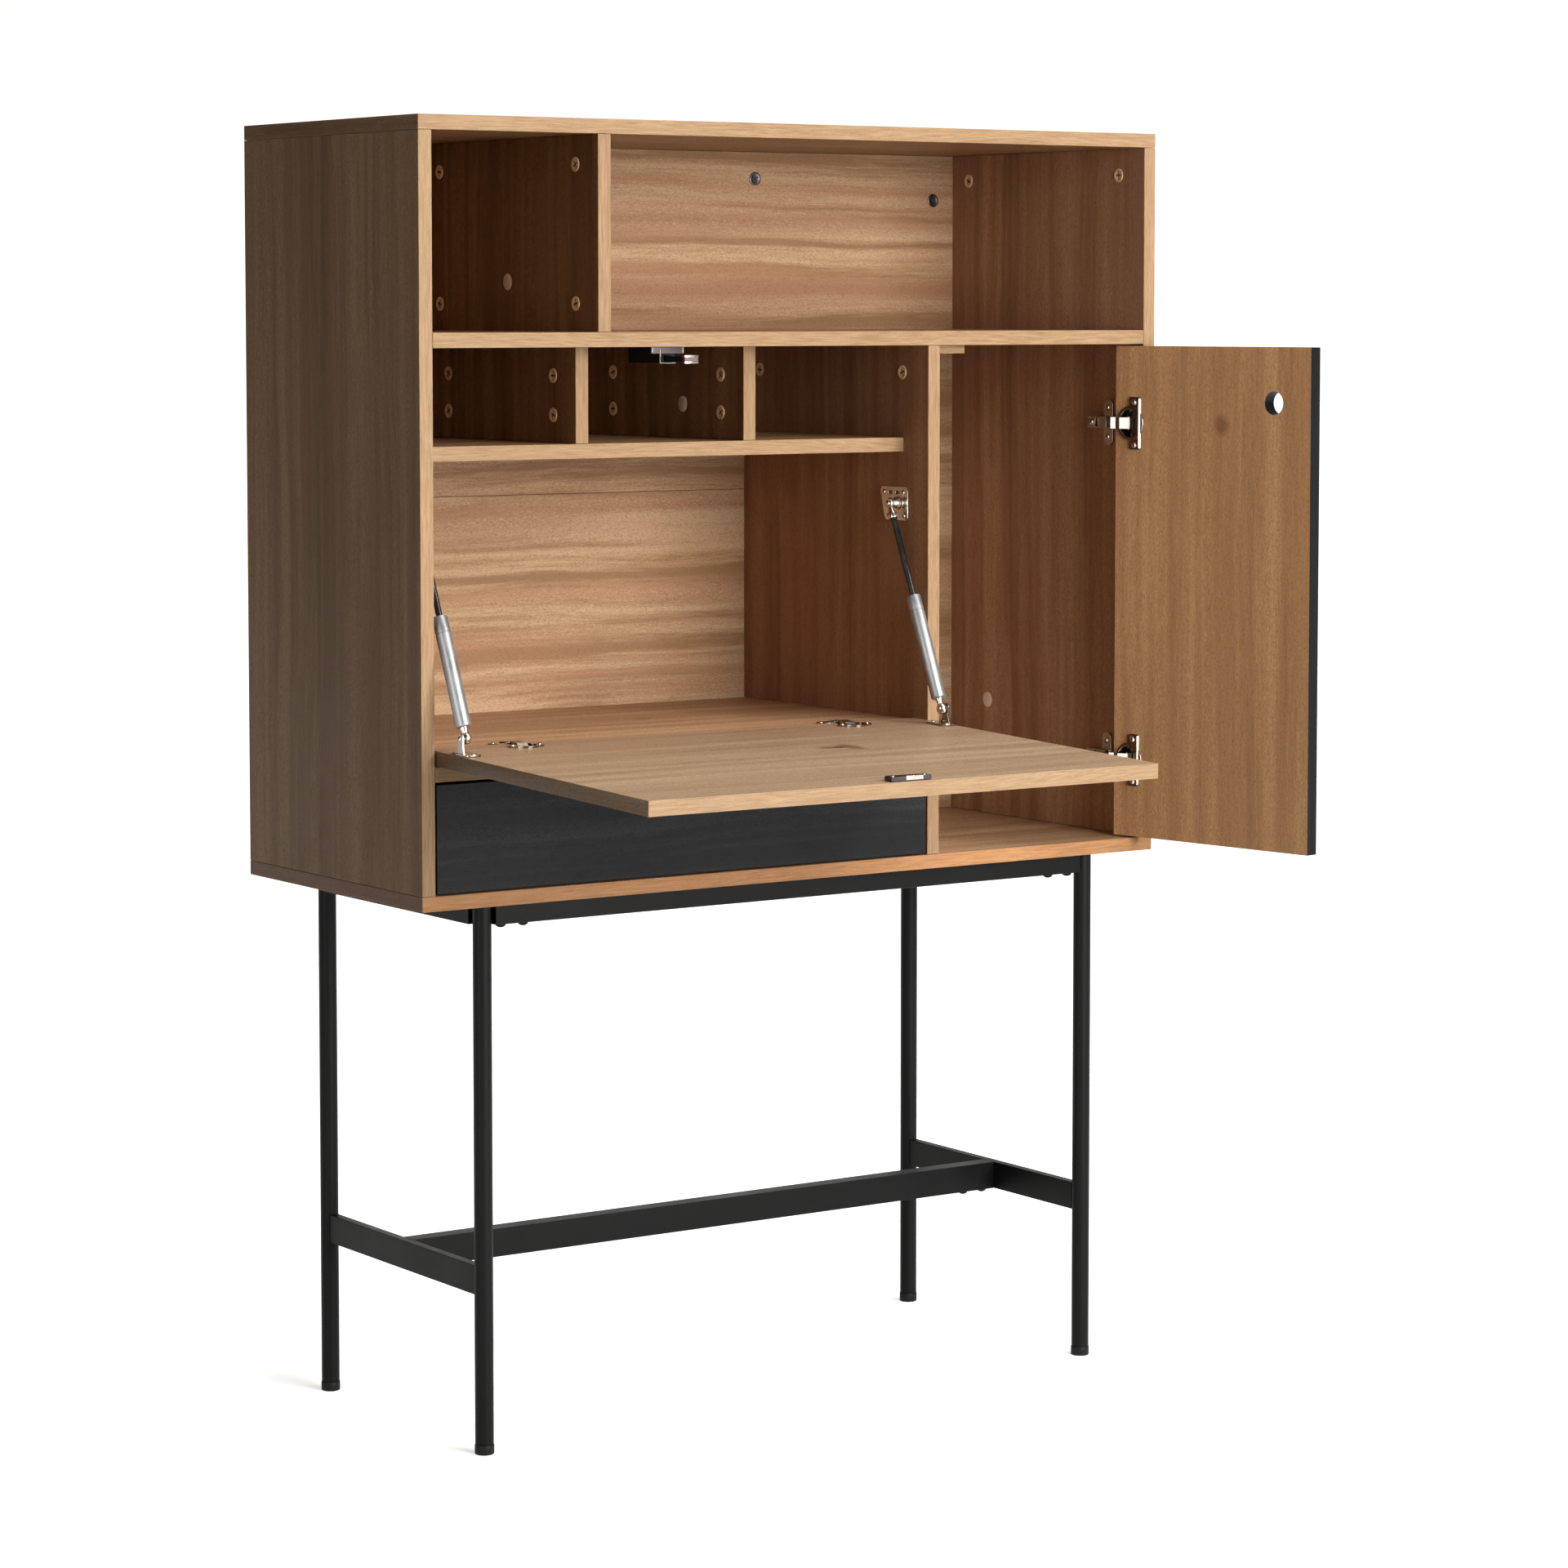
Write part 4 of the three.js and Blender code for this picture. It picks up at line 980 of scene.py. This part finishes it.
LATCH_X = middle_of("latch_housing", "x")
LATCH = {"half": 9.5, "front": 41.2, "back": 102.8, "bottom": 1094.9, "top": 1111.6}
LATCH_POCKET = {"half": 4.6, "back": 97, "bottom": 1096, "top": 1102.4}
LATCH_EARS = {"half": 20, "front": 41.1, "back": 44, "bottom": 1104.6, "top": 1111.5}
LATCH_STEM = {"half": 4, "front": -2, "back": 64, "bottom": 1096.5, "top": 1101.9}
LATCH_HEAD = {"half": 8.7, "front": -4, "back": 1, "bottom": 1095, "top": 1103.4}
LATCH_POLE = 2.1
STRIKE_STRIP = ((-151.5, 16.2, 1100), (-131.5, 20.35, 1107.3))
STRIKE_SCREWS = {"x": (-163.5, -126.5), "top": 19.8, "z": 1101}


def latch_block(half, front, back, bottom, top, corner):
    outline = rounded(LATCH_X - half, LATCH_X + half, front, back, corner)
    return slab("z", outline, bottom, top)


def make_latch_housing():
    """The touch latch under the shelf: its hollow body, its ears, and their bright edges."""
    half, front, back, bottom, top = LATCH.values()
    reach, end, low, high = LATCH_POCKET.values()
    hollow = block((LATCH_X - reach, front - 4, low), (LATCH_X + reach, end, high))
    body = cut(latch_block(half, front, back, bottom, top, 1.5), hollow)
    stand_in("latch_housing", body, STAY, "cabinet", "black_plastic", 0.4)
    wide, low, high = (LATCH_EARS[key] for key in ("half", "bottom", "top"))
    piece("latch_ears", latch_block(*LATCH_EARS.values(), 1.2), STAY, "cabinet", "dark_metal", 0.3)
    lips = [block((x - 0.5, front - 0.3, low + 0.4), (x + 0.5, front + 1, high - 0.2))
            for x in (LATCH_X - wide + 1.6, LATCH_X + wide - 1.6)]
    piece("latch_ear_lips", join(*lips), STAY, "cabinet", "nickel", 0.1)
    upright = block((LATCH_X - half - 0.25, front - 0.25, bottom - 0.1),
                    (LATCH_X - half + 0.7, front + 0.7, top - 1.6))
    sill = block((LATCH_X - half, front - 0.3, bottom - 0.15), (LATCH_X + half, front + 0.5, bottom + 0.55))
    piece("latch_metal_edge", join(upright, sill), STAY, "cabinet", "nickel", 0.1)


def make_latch_plunger():
    """The plunger, out: its stem, and the magnet between two pole plates at its head."""
    half, front, back, bottom, top = LATCH_STEM.values()
    stem = block((LATCH_X - half, front, bottom), (LATCH_X + half, back, top))
    piece("latch_plunger_stem", stem, STAY, "latch_plunger", "black_plastic", 0.4, "latch_plunger")
    half, front, back, bottom, top = LATCH_HEAD.values()
    low, high = bottom + LATCH_POLE, top - LATCH_POLE
    magnet = latch_block(half - 0.5, front + 0.6, back - 0.2, low, high, 0.6)
    piece("latch_magnet", magnet, STAY, "latch_plunger", "magnet", 0.2)
    for name, z0, z1 in (("upper", high, top), ("lower", bottom, low)):
        pole = latch_block(half, front, back, z0, z1, 1)
        piece(f"latch_pole_{name}", pole, STAY, "latch_plunger", "nickel", 0.2)


def make_latch_strike(screw):
    """The bright strip and the screws of the strike plate on the flap."""
    piece("flap_strike_strip", block(*STRIKE_STRIP), ON_FLAP, "flap", "nickel", 0.15)
    points = [ON_FLAP @ at(x, STRIKE_SCREWS["top"], STRIKE_SCREWS["z"]) for x in STRIKE_SCREWS["x"]]
    fitted_row("flap_strike_screw", screw, points, FLAP_INWARD, "flap", 20)


LEG_WALL = 1.5
CAP_PROFILE = [(0, 0), (9.0, 0), (9.7, 0.4), (10.0, 1.1), (10.0, 9.2), (9.8, 9.8), (9.4, 10), (0, 10)]
BEAM_BOLTS = (332.5, 358.5)
STRETCHER_BOLTS = (338.5, 364.5)


def make_leg(corner):
    """A smooth round leg on its foot cap."""
    leg = f"leg_{corner}"
    centre = Matrix.Translation((middle_of(leg, "x"), middle_of(leg, "y"), 0))
    low, high = face_of(leg, "z", LOW), face_of(leg, "z", HIGH)
    outer = (face_of(leg, "x", HIGH) - face_of(leg, "x", LOW)) / 2
    inner = outer - LEG_WALL
    tube = turned([(inner, low), (outer, low), (outer, high), (inner, high)], centre, 64)
    stand_in(leg, tube, STAY, "cabinet", "black_steel", 0)
    stand_in(f"foot_{corner}", turned(CAP_PROFILE, centre, 64), STAY, "cabinet", "black_plastic", 0)


def bolt_mesh():
    """A domed head with a hexagon socket."""
    dome = turned([(0, 4.2), (2.5, 3.9), (4.6, 2.7), (5.6, 0.8), (5.6, 0), (0, 0)], segments=32)
    return shared_mesh("bolt", cut(dome, bar(1.9, 1.6, 6, segments=6)), ("black_steel", "recess"), 2.0)


def make_bolts():
    """The bolts under the beams and the long stretcher, two at each end."""
    places = []
    for node, reaches in (("frame_beam_front", BEAM_BOLTS), ("frame_beam_rear", BEAM_BOLTS),
                          ("stretcher_long", STRETCHER_BOLTS)):
        y, z = middle_of(node, "y"), face_of(node, "z", LOW)
        places += [(side * reach, y, z) for side in (-1, 1) for reach in reaches]
    bolt = bolt_mesh()
    for i, point in enumerate(places):
        fitted(f"frame_bolt_{i + 1:02d}", bolt, at(*point), DOWN, "cabinet", 15 * i)


# -------- boards and finishes
LYING, STANDING, BACK = ("x", "y"), ("z", "y"), ("x", "z")  # along the grain, and along the end bands
BOARDS = [
    ("top_panel", LYING, OAK), ("bottom_panel", LYING, BACK_OAK), ("main_shelf", LYING, OAK),
    # the desk surface takes the oak brightened as painted light
    ("pigeonhole_shelf", LYING, OAK), ("desk_surface", LYING, LIT_DESK_OAK), ("drawer_bay_top", LYING, OAK),
    ("back_panel_upper", BACK, BACK_OAK), ("back_panel_lower", BACK, BACK_OAK),
    ("side_panel_left", STANDING, OAK), ("side_panel_right", STANDING, WARM_OAK),
    # the dividers inside the bays take the oak with painted shade
    ("centre_partition", STANDING, PARTITION_OAK), ("top_bay_divider", STANDING, SHADED_OAK),
    ("pigeonhole_divider_left", STANDING, SHADED_OAK), ("pigeonhole_divider_right", STANDING, SHADED_OAK),
    ("door_stop_block", LYING, OAK),
]
# Where the flap's painted shade begins, and where it is full, by the cabinet
PAINTED_SHADE_FROM, PAINTED_SHADE_AT = at(0, -230, 0).y, at(0, 20, 0).y
MATERIALS = {
    "black_steel": coated("black_steel", (0.0032, 0.0033, 0.0036), 0.45, specular=0.11),
    "black_plastic": coated("black_plastic", (0.0045, 0.0045, 0.005), 0.5, peel=1400, specular=0.16),
    "dark_plastic": coated("dark_plastic", (0.020, 0.0065, 0.0080), 0.3, peel=1600),
    "magnet": coated("magnet", (0.115, 0.062, 0.058), 0.4, peel=1600),
    "dark_metal": metal("dark_metal", (0.085, 0.072, 0.080), 0.35),
    "nickel": metal("nickel", (0.60, 0.55, 0.49), 0.2),
    "hinge_steel": metal("hinge_steel", (0.30, 0.26, 0.22), 0.16),
    "bronze": metal("bronze", (0.85, 0.60, 0.38), 0.45, metallic=0.35),
    # near black: painted shade on the floors of the screw, cam and bolt recesses
    "recess": coated("recess", (0.012, 0.010, 0.009), 0.6),
    "paper": coated("paper", (0.88, 0.76, 0.66), 0.75, peel=900),
    "grey_tube": metal("grey_tube", (0.27, 0.28, 0.29), 0.40, metallic=0.7),
    "black_rod": metal("black_rod", (0.035, 0.035, 0.037), 0.25, metallic=0.8),
    "zinc_slide": metal("zinc_slide", (0.60, 0.61, 0.62), 0.3),
    "oak_drawer_box": wood("drawer_box", ("y", "x"), 5.2, figure=0.3),
}
NODE_EDGE = 0.0005  # metres
NODE_SHARP = math.radians(35)


def board_wood(name, grain, oak, seed):
    """The veneer of one fixed board. The back panels show the boldest figure and have no edge band."""
    if grain == BACK:
        return wood(name, grain, seed, oak, 1.0, 0.9)
    edge_band = DEEP_EDGE_BAND if name == "bottom_panel" else EDGE_BAND
    knots = DESK_KNOTS if name == "desk_surface" else ()
    return wood(name, grain, seed, oak, 0.4, 0.6, knots, edge_band=edge_band)


def flap_wood():
    # the flap's paler tones are partly its own veneer and partly a painted sheen
    return wood("flap_panel", LYING, 4.4, PALE_AND_SHEEN_OAK, 0.4, 0.6, FLAP_KNOTS, edge_band=EDGE_BAND,
                painted_shade_span=(PAINTED_SHADE_FROM, PAINTED_SHADE_AT))


def drawer_wood():
    return wood("drawer_front", BACK, 2.3, BLACK_OAK, 0.45, gloss=0.5, specular=0.14)


def finish_nodes():
    """Every node of the frame gets its material, and a fine round on its edges."""
    nodes = frame["nodes"]
    for i, (name, grain, oak) in enumerate(BOARDS):
        set_material(nodes[name], board_wood(name, grain, oak, 1.0 + i * 1.7))
    set_material(nodes["door_panel"], door_wood("door_panel"))
    set_material(nodes["flap_panel"], flap_wood())
    set_material(nodes["drawer_front"], drawer_wood())
    for row in frame["record"]["subparts"]:
        if row["material_slot"] in MATERIALS:
            set_material(nodes[row["node"]], MATERIALS[row["material_slot"]])
    for node in nodes.values():
        round_edges(node)


def set_material(made, material):
    for slot in made.material_slots:
        slot.material = material


def round_edges(made):
    """The flat faces' triangles are merged before the edges are rounded, so that the round stays clean."""
    weld = made.modifiers.new("weld", "WELD")
    weld.merge_threshold = 0.00001
    merge = made.modifiers.new("merge", "DECIMATE")
    merge.decimate_type = "DISSOLVE"
    merge.angle_limit = math.radians(0.5)
    bevel(made, NODE_EDGE, NODE_SHARP)


# -------- the scene
make_camera()
make_world()
make_stage()
make_lights()
bpy.context.scene.view_settings.view_transform = "Standard"

finish_nodes()
screw = screw_mesh("screw", 3.4, 1.5)
small_screw = screw_mesh("small_screw", 2.5, 1.1)
make_cams()
make_stickers()
make_door_hinges(screw)
make_flap_hinges(small_screw)
make_struts(small_screw)
make_latch_housing()
make_latch_plunger()
make_latch_strike(small_screw)
for corner in ("front_left", "front_right", "rear_left", "rear_right"):
    make_leg(corner)
make_bolts()
